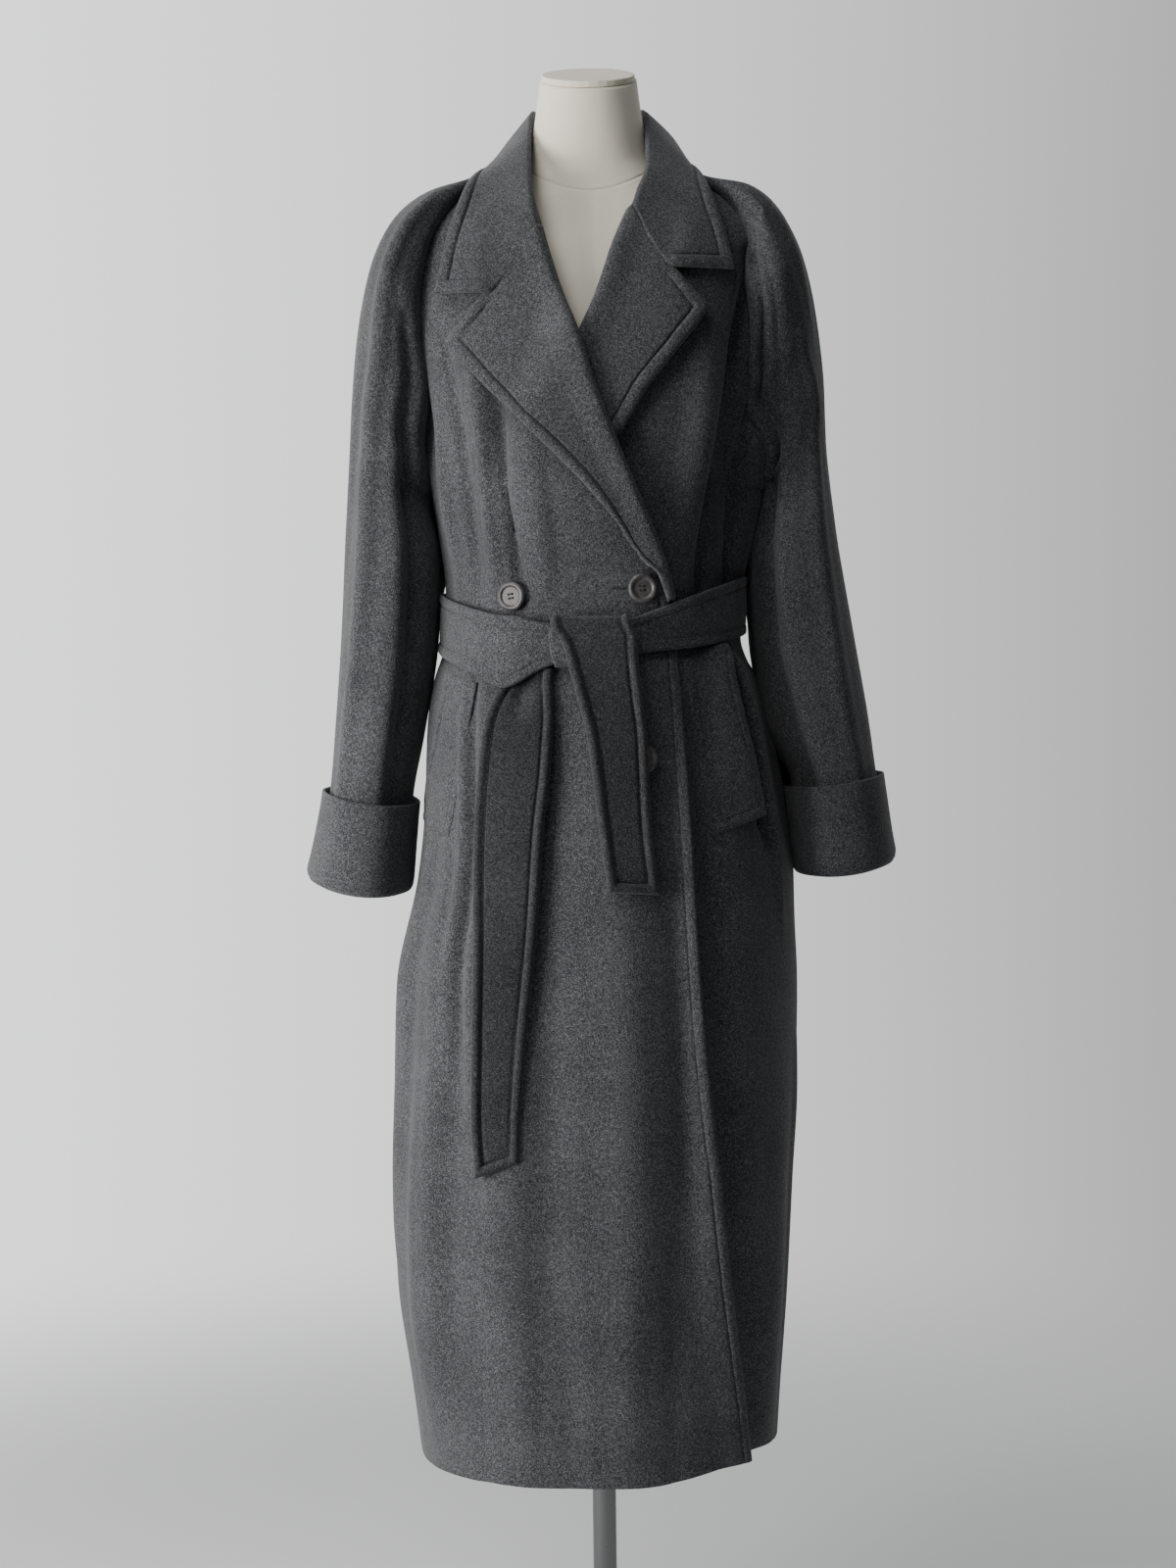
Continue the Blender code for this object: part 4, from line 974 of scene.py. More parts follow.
# %% Sizes of the right sleeve
RIGHT_SLEEVE_ROWS = (
    # inner, inner_height, outer, outer_height, front, back, front_drop
    (0.0860, 1.412, 0.0820, 1.4265, 0.033, 0.078, 0.000),
    (0.1110, 1.395, 0.1120, 1.4105, 0.056, 0.090, 0.000),
    (0.1330, 1.370, 0.1480, 1.4000, 0.074, 0.101, 0.000),
    (0.1450, 1.335, 0.1800, 1.3770, 0.088, 0.107, 0.000),
    (0.1500, 1.285, 0.2040, 1.3310, 0.095, 0.106, 0.000),
    (0.1485, 1.220, 0.2180, 1.2620, 0.094, 0.099, 0.000),
    (0.1500, 1.165, 0.2235, 1.2000, 0.088, 0.091, 0.000),
    (0.1530, 1.118, 0.2265, 1.1500, 0.081, 0.084, 0.000),
    (0.1440, 1.060, 0.2310, 1.0800, 0.077, 0.080, 0.002),
    (0.1480, 0.985, 0.2355, 0.9950, 0.075, 0.077, 0.004),
    (0.1620, 0.900, 0.2420, 0.9100, 0.071, 0.073, 0.006),
    (0.1740, 0.836, 0.2480, 0.8480, 0.062, 0.064, 0.008),
    (0.1790, 0.757, 0.2655, 0.7700, 0.066, 0.068, 0.009),
)
print("right sleeve:", len(RIGHT_SLEEVE_ROWS), "rows from neck to wrist")

# %% Sizes of the left sleeve
LEFT_SLEEVE_ROWS = (
    # inner, inner_height, outer, outer_height, front, back, front_drop
    (0.0860, 1.412, 0.0810, 1.4265, 0.033, 0.078, 0.000),
    (0.1120, 1.395, 0.1080, 1.4100, 0.056, 0.090, 0.000),
    (0.1340, 1.370, 0.1430, 1.4045, 0.074, 0.101, 0.000),
    (0.1440, 1.335, 0.1720, 1.3850, 0.088, 0.107, 0.000),
    (0.1400, 1.285, 0.1940, 1.3480, 0.093, 0.106, 0.000),
    (0.1400, 1.220, 0.2100, 1.2870, 0.076, 0.099, 0.000),
    (0.1460, 1.165, 0.2170, 1.2250, 0.063, 0.091, 0.000),
    (0.1520, 1.118, 0.2190, 1.1650, 0.057, 0.084, 0.000),
    (0.1440, 1.060, 0.2260, 1.0900, 0.067, 0.080, 0.002),
    (0.1462, 0.985, 0.2405, 0.9970, 0.066, 0.077, 0.004),
    (0.1625, 0.900, 0.2545, 0.9100, 0.066, 0.073, 0.005),
    (0.1840, 0.848, 0.2610, 0.8580, 0.062, 0.064, 0.006),
    (0.1900, 0.770, 0.2735, 0.7810, 0.066, 0.068, 0.007),
)
SLEEVE_MIDDLE = 0.42     # place of the front and back bulge, from the seam to the overarm line
SLEEVE_SQUARE = 2.25
SLEEVE_OFF_SEAM = 0.0012
print("left sleeve:", len(LEFT_SLEEVE_ROWS), "rows from neck to wrist")

# %% Creases of the sleeves
# In these tables around is 0 at the front seam, 0.5 on top of the arm, 1 at the back.
RIGHT_SLEEVE_CREASES = (
    # around_top, row_top, around_bottom, row_bottom, half_width, out
    (0.260, 2.0, 0.390, 12.8, 0.045, 0.0070),
    (0.330, 3.0, 0.440, 9.5, 0.040, -0.0040),
    (0.170, 4.2, 0.160, 12.4, 0.080, -0.0130),
    (0.115, 1.8, 0.105, 4.6, 0.028, 0.0020),
    (0.785, 3.0, 0.740, 13.0, 0.050, 0.0050),
    (0.850, 4.5, 0.830, 11.5, 0.045, -0.0100),
    (0.620, 4.0, 0.640, 12.0, 0.050, -0.0030),
    (0.930, 6.2, 0.930, 8.7, 0.060, 0.0120),
)
LEFT_SLEEVE_CREASES = (
    # around_top, row_top, around_bottom, row_bottom, half_width, out
    (0.350, 3.0, 0.330, 13.0, 0.050, 0.0050),
    (0.150, 2.4, 0.165, 12.6, 0.060, -0.0100),
    (0.200, 1.6, 0.250, 6.2, 0.028, -0.0028),
    (0.290, 1.8, 0.390, 7.5, 0.028, -0.0026),
    (0.420, 2.6, 0.455, 8.5, 0.026, -0.0022),
    (0.790, 3.0, 0.740, 13.0, 0.050, 0.0050),
    (0.850, 4.5, 0.820, 11.5, 0.045, -0.0100),
    (0.930, 6.2, 0.930, 8.9, 0.060, 0.0120),
    (0.930, 9.4, 0.930, 12.0, 0.060, 0.0120),
)
CREASE_FADE = 0.05       # the creases die out over this share beside the seams
print("sleeve creases:", len(RIGHT_SLEEVE_CREASES), "right,", len(LEFT_SLEEVE_CREASES), "left")

# %% Cuff table
# From the cuff's free top edge down, round the wrist and up inside: sleeve row, how far
# outside the sleeve's middle surface, and how far below its end.
CUFF_ROWS = (
    # row, out, below
    (11.00, 0.0072, 0.0000),
    (11.30, 0.0068, 0.0000),
    (11.70, 0.0058, 0.0000),
    (12.00, 0.0052, -0.0040),
    (12.00, 0.0040, 0.0012),
    (12.00, 0.0010, 0.0038),
    (12.00, -0.0022, 0.0022),
    (12.00, -0.0040, -0.0030),
    (11.80, -0.0042, 0.0000),
    (11.40, -0.0042, 0.0000),
)
print("the cuff stands", round(1000 * CUFF_ROWS[0][1], 1), "mm off the sleeve's middle at its top")


# %% Sleeve surface
def sleeve_seam(side, height, back):
    """Where the middle of the sleeve's wall meets the body along a raglan seam."""
    place = np.maximum(height, ARMPIT)
    around = side * seam_around(place, raglan_across(place, side, back), back)
    around = np.where(place <= ARMPIT, 90.0 * side, around)
    point = body(around, place, 0.0)
    point[..., 0] += side * SLEEVE_OFF_SEAM
    return point


def sleeve_line(rows, side, u, s):
    """Sleeve surface: u runs from the front seam over the arm to the back seam, s is the row.

    Each half is two quarter ovals, seam to bulge and bulge to the overarm line.
    """
    u, s = np.broadcast_arrays(np.asarray(u, float), np.asarray(s, float))
    inner, low, outer, high, front, back, drop = at_row(rows, s)
    is_back = u > 0.5
    turn = np.where(is_back, 1.0 - u, u) * 4.0
    seam = np.where(is_back[..., None], sleeve_seam(side, low, True), sleeve_seam(side, low, False))
    under = np.stack((side * inner, 0.0 * inner, low), axis=-1)
    seam = np.where((low < ARMPIT)[..., None], under, seam)
    top = np.stack((side * outer, (back - front) / 2, high), axis=-1)
    bulge = seam * (1 - SLEEVE_MIDDLE) + top * SLEEVE_MIDDLE
    bulge[..., 1] = np.where(is_back, back, -front)
    low_angle = np.clip(turn, 0, 1) * np.pi / 2
    high_angle = np.clip(turn - 1, 0, 1) * np.pi / 2
    k = 2 / SLEEVE_SQUARE
    near = (np.cos(low_angle) ** k)[..., None]
    far = (np.sin(high_angle) ** k)[..., None]
    point = np.where((turn <= 1)[..., None], bulge + (seam - bulge) * near, bulge + (top - bulge) * far)
    deep_low = seam[..., 1] + (bulge[..., 1] - seam[..., 1]) * np.sin(low_angle) ** k
    deep_high = top[..., 1] + (bulge[..., 1] - top[..., 1]) * np.cos(high_angle) ** k
    point[..., 1] = np.where(turn <= 1, deep_low, deep_high)
    over = np.clip((side * point[..., 0] - inner) / (outer - inner), 0, 1)
    dip = np.where(low < ARMPIT, drop, 0.0) * np.sin(np.pi * over) ** 0.6
    point[..., 2] += np.where(is_back, dip, -dip)
    return point


# %% Sleeve and cuff with their creases
def sleeve(rows, side, u, s, out):
    """Sleeve surface moved out along its normal, which comes from small steps of u and s."""
    turn, slide = 0.004, 0.02
    u, s = np.broadcast_arrays(np.asarray(u, float), np.asarray(s, float))
    is_tube = at_row(rows, s, [1])[0] < ARMPIT
    before = np.where(is_tube, (u - turn) % 1.0, np.maximum(u - turn, 0.0))
    after = np.where(is_tube, (u + turn) % 1.0, np.minimum(u + turn, 1.0))
    along = sleeve_line(rows, side, after, s) - sleeve_line(rows, side, before, s)
    lower, upper = np.minimum(s + slide, len(rows) - 1.0), np.maximum(s - slide, 0.0)
    down = sleeve_line(rows, side, u, lower) - sleeve_line(rows, side, u, upper)
    normal = unit(-side * np.cross(along, down))
    out = np.broadcast_to(out, normal.shape[:-1])[..., None]
    return sleeve_line(rows, side, u, s) + normal * out


def creased_sleeve(rows, side, table):
    """Sleeve surface by (rows 0..1, shares), with its creases; they fade at the seams."""
    def surface(place, u):
        u, s = np.broadcast_arrays(u, place * (len(rows) - 1))
        fade = ramp(0.0, CREASE_FADE, u) * ramp(0.0, CREASE_FADE, 1 - u)
        return sleeve(rows, side, u, s, creases(table, u, s) * fade)
    return surface


def cuff_surface(rows, side):
    """Cuff by (profile 0..1, share round the wrist)."""
    def surface(place, u):
        s, out, below = at_row(CUFF_ROWS, place * (len(CUFF_ROWS) - 1))
        point = sleeve(rows, side, u, s, out)
        point[..., 2] -= np.broadcast_to(below, point.shape[:-1])
        return point
    return surface


# %% Make sleeves and cuffs
SLEEVE_STEP = 0.0052
CUFF_STEP = 0.0035
CUFF_STEPS = np.concatenate((EDGE_STEPS, [0.019]))
CUFF_COLUMNS = 120

cuff_stitches = []
for word, side, rows, table in (
    ("right", -1, RIGHT_SLEEVE_ROWS, RIGHT_SLEEVE_CREASES),
    ("left", 1, LEFT_SLEEVE_ROWS, LEFT_SLEEVE_CREASES),
):
    surface = creased_sleeve(rows, side, table)
    places = row_places(lambda share: surface(share, 0.5 + 0 * share), SLEEVE_STEP)
    points, _, _ = by_distance(surface, places, lambda lengths: spaced(lengths, SLEEVE_STEP))
    piece, _, _ = wall(f"sleeve_{word}_cloth", points, CLOTH, wool, flip=side < 0)
    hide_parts(f"sleeve_{word}")

    surface = cuff_surface(rows, side)
    places = row_places(lambda share: surface(share, 0.5 + 0 * share), CUFF_STEP, CUFF_STEPS)
    points = surface(places, np.linspace(0, 1, CUFF_COLUMNS + 1)[None, :-1])
    piece, outer, normal = wall(
        f"cuff_{word}_cloth", points, CLOTH, wool, out=border(run(points, 0)), ring=True, flip=side < 0
    )
    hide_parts(f"cuff_{word}")
    cuff_stitches.append((closed(outer[STITCH_STEP]), closed(normal[STITCH_STEP])))

# %% [markdown]
# ## Collar and lapels
#
# A tailor's collar stands up from the neck seam, rolls over and falls to its outer edge. The
# lapels are the fronts themselves, faced and turned back. Bending flat panels with modifiers
# would stretch them at the roll. So the collar is one profile of four points carried round
# the neck, and each lapel starts under its front's edge, goes round it in a half circle and
# lies on the front. Both press in where they are sewn together, at the gorge, and leave the
# notch open.

# %% Collar and lapel tables
COLLAR_ROWS = (
    # seam_x, seam_y, seam_z, roll_x, roll_y, roll_z, mid_x, mid_y, mid_z, edge_x, edge_y, edge_z
    (-0.0440, -0.0950, 1.351, -0.0475, -0.1035, 1.3490, -0.0925, -0.1195, 1.2885, -0.1400, -0.1005, 1.2915),
    (-0.0525, -0.0700, 1.382, -0.0530, -0.0850, 1.3830, -0.0930, -0.0985, 1.3420, -0.1305, -0.0860, 1.3420),
    (-0.0575, -0.0480, 1.408, -0.0555, -0.0520, 1.4200, -0.0880, -0.0640, 1.3990, -0.1170, -0.0720, 1.3860),
    (-0.0605, -0.0100, 1.436, -0.0550, -0.0050, 1.4660, -0.0800, -0.0140, 1.4380, -0.1050, -0.0240, 1.4140),
    (-0.0605, 0.0330, 1.439, -0.0515, 0.0370, 1.4905, -0.0785, 0.0520, 1.4600, -0.0965, 0.0660, 1.4290),
    (-0.0385, 0.0600, 1.439, -0.0320, 0.0670, 1.4925, -0.0460, 0.0870, 1.4530, -0.0580, 0.0990, 1.4170),
    (0.0000, 0.0680, 1.435, 0.0000, 0.0745, 1.4930, 0.0000, 0.0920, 1.4500, 0.0000, 0.1030, 1.4100),
    (0.0385, 0.0600, 1.439, 0.0320, 0.0670, 1.4925, 0.0460, 0.0870, 1.4530, 0.0580, 0.0990, 1.4170),
    (0.0605, 0.0330, 1.439, 0.0515, 0.0370, 1.4905, 0.0810, 0.0520, 1.4640, 0.0950, 0.0660, 1.4310),
    (0.0605, -0.0100, 1.436, 0.0545, -0.0050, 1.4660, 0.0812, -0.0130, 1.4405, 0.1010, -0.0220, 1.4150),
    (0.0560, -0.0480, 1.408, 0.0535, -0.0520, 1.4180, 0.0790, -0.0640, 1.3990, 0.1115, -0.0720, 1.3850),
    (0.0450, -0.0700, 1.382, 0.0440, -0.0830, 1.3850, 0.0800, -0.0945, 1.3540, 0.1210, -0.0840, 1.3530),
    (0.0365, -0.0870, 1.368, 0.0390, -0.0975, 1.3660, 0.0730, -0.1165, 1.3100, 0.1295, -0.0965, 1.3115),
)
RIGHT_LAPEL_ROWS = (
    # roll_x, roll_z, mid_x, mid_z, edge_x, edge_z
    (0.0648, 1.0135, 0.0632, 1.0130, 0.0615, 1.0110),
    (0.0600, 1.0360, 0.0565, 1.0345, 0.0528, 1.0375),
    (0.0530, 1.0590, 0.0440, 1.0545, 0.0330, 1.0660),
    (0.0360, 1.1015, 0.0175, 1.1060, -0.0036, 1.1100),
    (0.0160, 1.1530, -0.0105, 1.1510, -0.0379, 1.1475),
    (0.0000, 1.1960, -0.0350, 1.1900, -0.0722, 1.1825),
    (-0.0140, 1.2440, -0.0540, 1.2290, -0.0950, 1.2070),
    (-0.0325, 1.2960, -0.0745, 1.2610, -0.1130, 1.2300),
    (-0.0445, 1.3380, -0.0875, 1.2850, -0.1245, 1.2430),
    (-0.0475, 1.3515, -0.0910, 1.2925, -0.1250, 1.2460),
)
LEFT_LAPEL_ROWS = (
    # roll_x, roll_z, mid_x, mid_z, edge_x, edge_z
    (-0.0480, 1.1250, -0.0460, 1.1250, -0.0440, 1.1230),
    (-0.0400, 1.1560, -0.0260, 1.1480, -0.0120, 1.1340),
    (-0.0270, 1.2000, -0.0030, 1.1820, 0.0190, 1.1545),
    (-0.0095, 1.2440, 0.0200, 1.2215, 0.0490, 1.2000),
    (0.0060, 1.2790, 0.0400, 1.2535, 0.0760, 1.2355),
    (0.0240, 1.3330, 0.0590, 1.2925, 0.0930, 1.2570),
    (0.0385, 1.3680, 0.0720, 1.3110, 0.1020, 1.2735),
)
COLLAR_THICKNESS = 0.0048
COLLAR_STEP = 0.0034
WIDE_PUFF = 0.0016       # height of the roll and depth of the groove on collar and lapels
SEAM_PRESS = 0.0022      # how far a sewn edge of collar or lapel is pressed in
SEAM_REACH = 0.0050
print("collar sections:", len(COLLAR_ROWS), "lapel rows:", len(RIGHT_LAPEL_ROWS), len(LEFT_LAPEL_ROWS))

# %% Collar surface
COLLAR_FALLEN = (0.33, 0.42)     # shares over which the collar turns from stand to fall
COLLAR_END = 0.66                # from this share outwards its ends are free and stitched
COLLAR_SEWN = (0.58, COLLAR_END)


def collar_surface(place, share):
    """Rows run from the right front end round the neck, shares from neck seam to outer edge."""
    row = (place * (len(COLLAR_ROWS) - 1)).ravel()
    knots = np.stack(at_row(COLLAR_ROWS, row), axis=-1).reshape(len(row), 4, 3)
    share = np.broadcast_to(share, (len(row), share.shape[-1]))
    corners = np.arange(4, dtype=float)
    return np.stack([smooth(3 * share, corners, knots[..., axis]) for axis in range(3)], axis=-1)


# %% Make the collar
places = row_places(
    lambda share: collar_surface(share, np.array([[0.8]]))[:, 0], COLLAR_STEP, WIDE_STEPS, WIDE_STEPS
)
points, share, _ = by_distance(
    collar_surface, places, lambda lengths: spaced(lengths, COLLAR_STEP, PLAIN_STEPS, WIDE_STEPS)
)
end_distance = edge_distance(points, "top", "bottom")
free_end = np.where(share > COLLAR_END, end_distance, np.inf)
distance = np.minimum(edge_distance(points, "last"), free_end)
pressed = (1 - ramp(0.0, SEAM_REACH, end_distance)) * (1 - ramp(*COLLAR_SEWN, share))
raised = border(distance, WIDE_PUFF, WIDE_PUFF, WIDE_LINE) * ramp(*COLLAR_FALLEN, share)
piece, outer, normal = wall(
    "collar_cloth", points, COLLAR_THICKNESS, wool, out=raised - SEAM_PRESS * pressed, flip=True
)
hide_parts("collar")
k = STITCH_STEP          # short, for the slices here and in the cells below
collar_stitches = [(outer[k:-k, -1 - k], normal[k:-k, -1 - k])]
for row in (k, -1 - k):
    free = share[row] > COLLAR_END
    free[-k:] = False
    collar_stitches.append((outer[row, free], normal[row, free]))
print("collar outer edge:", round(float(run(points, 0)[-1, -1]), 3), "m")

# %% Lapel surface
ROLL_RADIUS = (CLOTH / 2 + LAID + FACED / 2) / 2
ROLL_SHARE = 0.1         # share of the surface that goes round the front's edge
ROLL_SWELL = 0.0030      # how far the soft roll stands above a pressed one
ROLL_REACH = 0.024
LAPEL_SPRING = 0.0040    # how far the outer edge stands off the front


def lapel_surface(rows, side, lift):
    """Rows run from the break to the gorge. Shares up to 0.1 go round the front's edge in a
    half circle, the rest runs over the middle to the outer edge on a quadratic."""
    def surface(place, share):
        place, share = np.broadcast_arrays(place, share)
        roll_x, roll_z, mid_x, mid_z, edge_x, edge_z = at_row(rows, place * (len(rows) - 1))
        angle = np.pi * np.clip(share / ROLL_SHARE, 0, 1)
        a = np.clip((share - ROLL_SHARE) / (1 - ROLL_SHARE), 0, 1)
        first, second, third = (1 - a) * (1 - 2 * a), 4 * a * (1 - a), a * (2 * a - 1)
        across = first * roll_x + second * mid_x + third * edge_x - side * ROLL_RADIUS * np.sin(angle)
        height = first * roll_z + second * mid_z + third * edge_z
        width = np.hypot(edge_x - roll_x, edge_z - roll_z)
        swell = ROLL_SWELL * np.cos(np.pi * np.clip(a * width / ROLL_REACH, 0, 1) / 2) ** 2
        spring = LAPEL_SPRING * ramp(0.25, 1.0, a) * ramp(0.02, 0.05, width)
        out = ROLL_RADIUS * (1 - np.cos(angle)) + swell * np.sin(angle / 2) + spring
        creased = 1 - ramp(0.1, 0.35, share)
        return body(around_at(across, height), height, out + lift(across, height), creased)
    return surface


# %% Make the lapels
LAPEL_COLUMNS = 21       # before the crowded steps of the border
LAPEL_NARROW = 0.040     # below this width the border's steps shrink with the lapel
LAPEL_END = 0.60         # from this share outwards the top edge is free, beside the notch
LAPEL_SEWN = (0.52, LAPEL_END)
STITCHED_WIDTH = 0.030   # the stitches start where the lapel is this wide

lapel_stitches = []
for word, side, rows, lift, flat_size, flat_area in (
    ("right", -1, RIGHT_LAPEL_ROWS, overlap, (0.145, 0.37), 0.026),
    ("left", 1, LEFT_LAPEL_ROWS, flat, (0.122, 0.26), 0.018),
):
    surface = lapel_surface(rows, side, lift)
    places = row_places(
        lambda share: surface(share, 0.55 + 0 * share), COLLAR_STEP, PLAIN_STEPS, WIDE_STEPS
    )
    widths = run(surface(places, np.linspace(0, 1, 40)[None, :]), 1)[:, -1]
    shrunk = np.minimum(1.0, widths / LAPEL_NARROW)[:, None]
    even = np.linspace(0, 1, LAPEL_COLUMNS + 1)[None, :-1]
    points, share, _ = by_distance(
        surface, places, lambda lengths: np.concatenate((
            even * (lengths[:, None] - WIDE_STEPS[-1] * shrunk),
            lengths[:, None] - WIDE_STEPS[None, ::-1] * shrunk,
        ), axis=1), samples=241
    )
    top_distance = edge_distance(points, "bottom")
    free_top = np.where(share > LAPEL_END, top_distance, np.inf)
    distance = np.minimum(edge_distance(points, "last"), free_top)
    width = run(points, 1)[:, -1:]
    shown = ramp(ROLL_SHARE, 0.16, share) * ramp(0.012, STITCHED_WIDTH, width)
    pressed = (1 - ramp(0.0, SEAM_REACH, top_distance)) * (1 - ramp(*LAPEL_SEWN, share))
    raised = border(distance, WIDE_PUFF, WIDE_PUFF, WIDE_LINE) * shown
    piece, outer, normal = wall(
        f"lapel_{word}_cloth", points, COLLAR_THICKNESS, wool, out=raised - SEAM_PRESS * pressed,
        flip=side < 0,
    )
    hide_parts(f"lapel_{word}")
    wide = width[:, 0] > STITCHED_WIDTH
    wide[-k:] = False
    lapel_stitches.append((outer[wide, -1 - k], normal[wide, -1 - k]))
    top = share[-1 - k] > LAPEL_END
    top[-k:] = False
    lapel_stitches.append((outer[-1 - k, top], normal[-1 - k, top]))
    print(word, "lapel edge:", round(float(run(points, 0)[-1, -1]), 3), "m")

# %% [markdown]
# ## Belt
#
# The real belt is one long stitched strip, tied with its two ends hanging. A strip pushed
# through a knot by simulation is hard to steer, so each stretch that shows is its own
# surface. The band goes once round the waist and is squeezed together in front. The two ends
# are strips whose middle line, width and distance from the body come from a table, and whose
# cut ends are slanted. The short one comes up behind the band and folds over its top edge,
# and a small folded pad stands for the knot's hidden turns.

# %% Table of the band
BELT_ROWS = (
    # around, height, width, out
    (-180.0, 1.0120, 0.055, 0.0044),
    (-130.0, 1.0100, 0.055, 0.0044),
    (-90.0, 1.0030, 0.055, 0.0046),
    (-56.0, 0.9870, 0.057, 0.0085),
    (-40.0, 0.9770, 0.060, 0.0140),
    (-26.0, 0.9665, 0.068, 0.0165),
    (-15.0, 0.9710, 0.046, 0.0130),
    (-6.0, 0.9740, 0.036, 0.0112),
    (8.0, 0.9780, 0.035, 0.0104),
    (20.0, 0.9850, 0.041, 0.0094),
    (36.0, 0.9940, 0.050, 0.0084),
    (60.0, 1.0060, 0.054, 0.0056),
    (90.0, 1.0160, 0.055, 0.0044),
    (130.0, 1.0140, 0.055, 0.0044),
    (180.0, 1.0120, 0.055, 0.0044),
)
print("the band is squeezed to", min(row[2] for row in BELT_ROWS), "m in front")

# %% Tables of the two ends and the knot
# The rows run down each strip.
SHORT_TAIL_ROWS = (
    # height, across, width, out
    (0.9725, -0.0010, 0.0500, 0.0150),
    (0.9865, -0.0020, 0.0600, 0.0150),
    (0.9945, -0.0030, 0.0640, 0.0185),
    (0.9960, -0.0033, 0.0650, 0.0225),
    (0.9900, -0.0028, 0.0648, 0.0262),
    (0.9760, 0.0016, 0.0628, 0.0270),
    (0.9450, 0.0070, 0.0564, 0.0260),
    (0.9190, 0.0117, 0.0534, 0.0232),
    (0.8890, 0.0171, 0.0503, 0.0190),
    (0.8590, 0.0196, 0.0482, 0.0165),
    (0.8070, 0.0237, 0.0450, 0.0140),
    (0.7530, 0.0300, 0.0440, 0.0125),
)
LONG_TAIL_ROWS = (
    # height, across, width, out
    (0.950, -0.0560, 0.0400, 0.0072),
    (0.940, -0.0577, 0.0420, 0.0075),
    (0.923, -0.0607, 0.0490, 0.0100),
    (0.900, -0.0631, 0.0534, 0.0140),
    (0.859, -0.0660, 0.0536, 0.0165),
    (0.807, -0.0710, 0.0514, 0.0155),
    (0.722, -0.0766, 0.0488, 0.0130),
    (0.627, -0.0841, 0.0428, 0.0110),
    (0.550, -0.0880, 0.0385, 0.0100),
    (0.512, -0.0877, 0.0350, 0.0095),
)
KNOT_ROWS = (
    # height, across, width, out
    (0.9990, -0.0040, 0.0560, 0.0130),
    (0.9890, -0.0050, 0.0620, 0.0178),
    (0.9750, -0.0060, 0.0640, 0.0196),
    (0.9600, -0.0070, 0.0600, 0.0186),
    (0.9500, -0.0080, 0.0520, 0.0120),
)
for word, rows in (("short", SHORT_TAIL_ROWS), ("long", LONG_TAIL_ROWS)):
    print(word, "end hangs to", rows[-1][0], "m above the floor")

# %% Surface of the band
BELT_WIDTH = 0.055
BELT_STEP = 0.0035
BELT_COLUMNS = 300
BELT_CREASED = 0.15      # the band follows this share of the creases under it
BAND_BORDER = (0.0004, 0.0006)     # height of the roll, depth of the groove


def belt_surface(share, place):
    """Band round the waist: share 0..1 goes once round, place 0..1 from its top to its bottom."""
    around = -180 + 360 * share
    centre, width, out = at_place(BELT_ROWS, around)
    return body(around, centre + width * (0.5 - place), out, BELT_CREASED)


# %% Make the band
belt_edges = spaced(BELT_WIDTH, BELT_STEP, EDGE_STEPS, EDGE_STEPS) / BELT_WIDTH
points = belt_surface(np.linspace(0, 1, BELT_COLUMNS + 1)[None, :-1], belt_edges[:, None])
raised = border(edge_distance(points, "top", "bottom"), *BAND_BORDER)
piece, outer, normal = wall("belt_band_cloth", points, FACED, wool, out=raised, ring=True, flip=True)
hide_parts("belt_band")
belt_stitches = [(closed(outer[row]), closed(normal[row])) for row in (k, -1 - k)]

# %% Surface of the belt's ends and knot
END_REACH = 0.12         # length over which the rows turn to the slant of the cut end
LEAN_REACH = 0.06        # length over which the lean comes in
DIP_PLACE = 0.42         # middle of the dip, as a share of the width
DIP_WIDTH = 0.16
DIP_HEIGHTS = (0.885, 0.925)
END_BORDER = (0.0028, 0.0014)
END_GROOVE = 0.0014      # its half width


def strip_surface(rows, slant, lean, dip):
    """Strip down a table: place 0..1 runs down its rows, share 0..1 across its width. slant is
    the rise of its cut end for each unit across, lean how much further off its right-hand
    edge stands; dip is how deep it is pressed in where it comes out under the band."""
    def surface(place, share):
        height, across, width, out = at_row(rows, place * (len(rows) - 1))
        aside = width * (share - 0.5)
        near_end = 1 - ramp(0.0, END_REACH, height - rows[-1][0])
        rise = height + slant * near_end * aside
        pressed = dip * bell(share - DIP_PLACE, DIP_WIDTH) * ramp(*DIP_HEIGHTS, height)
        out = out - lean * aside * ramp(0.0, LEAN_REACH, rows[0][0] - height) - pressed
        return body(around_at(across + aside, rise), rise, out, 0.0)
    return surface


def line_across(outer, far, distance):
    """Points of a grid at a true distance along each row, where far is the distance so far."""
    row = np.arange(len(outer))
    after = np.clip((far < distance[:, None]).sum(axis=1), 1, far.shape[1] - 1)
    share = (distance - far[row, after - 1]) / (far[row, after] - far[row, after - 1])
    return outer[row, after - 1] + (outer[row, after] - outer[row, after - 1]) * share[:, None]
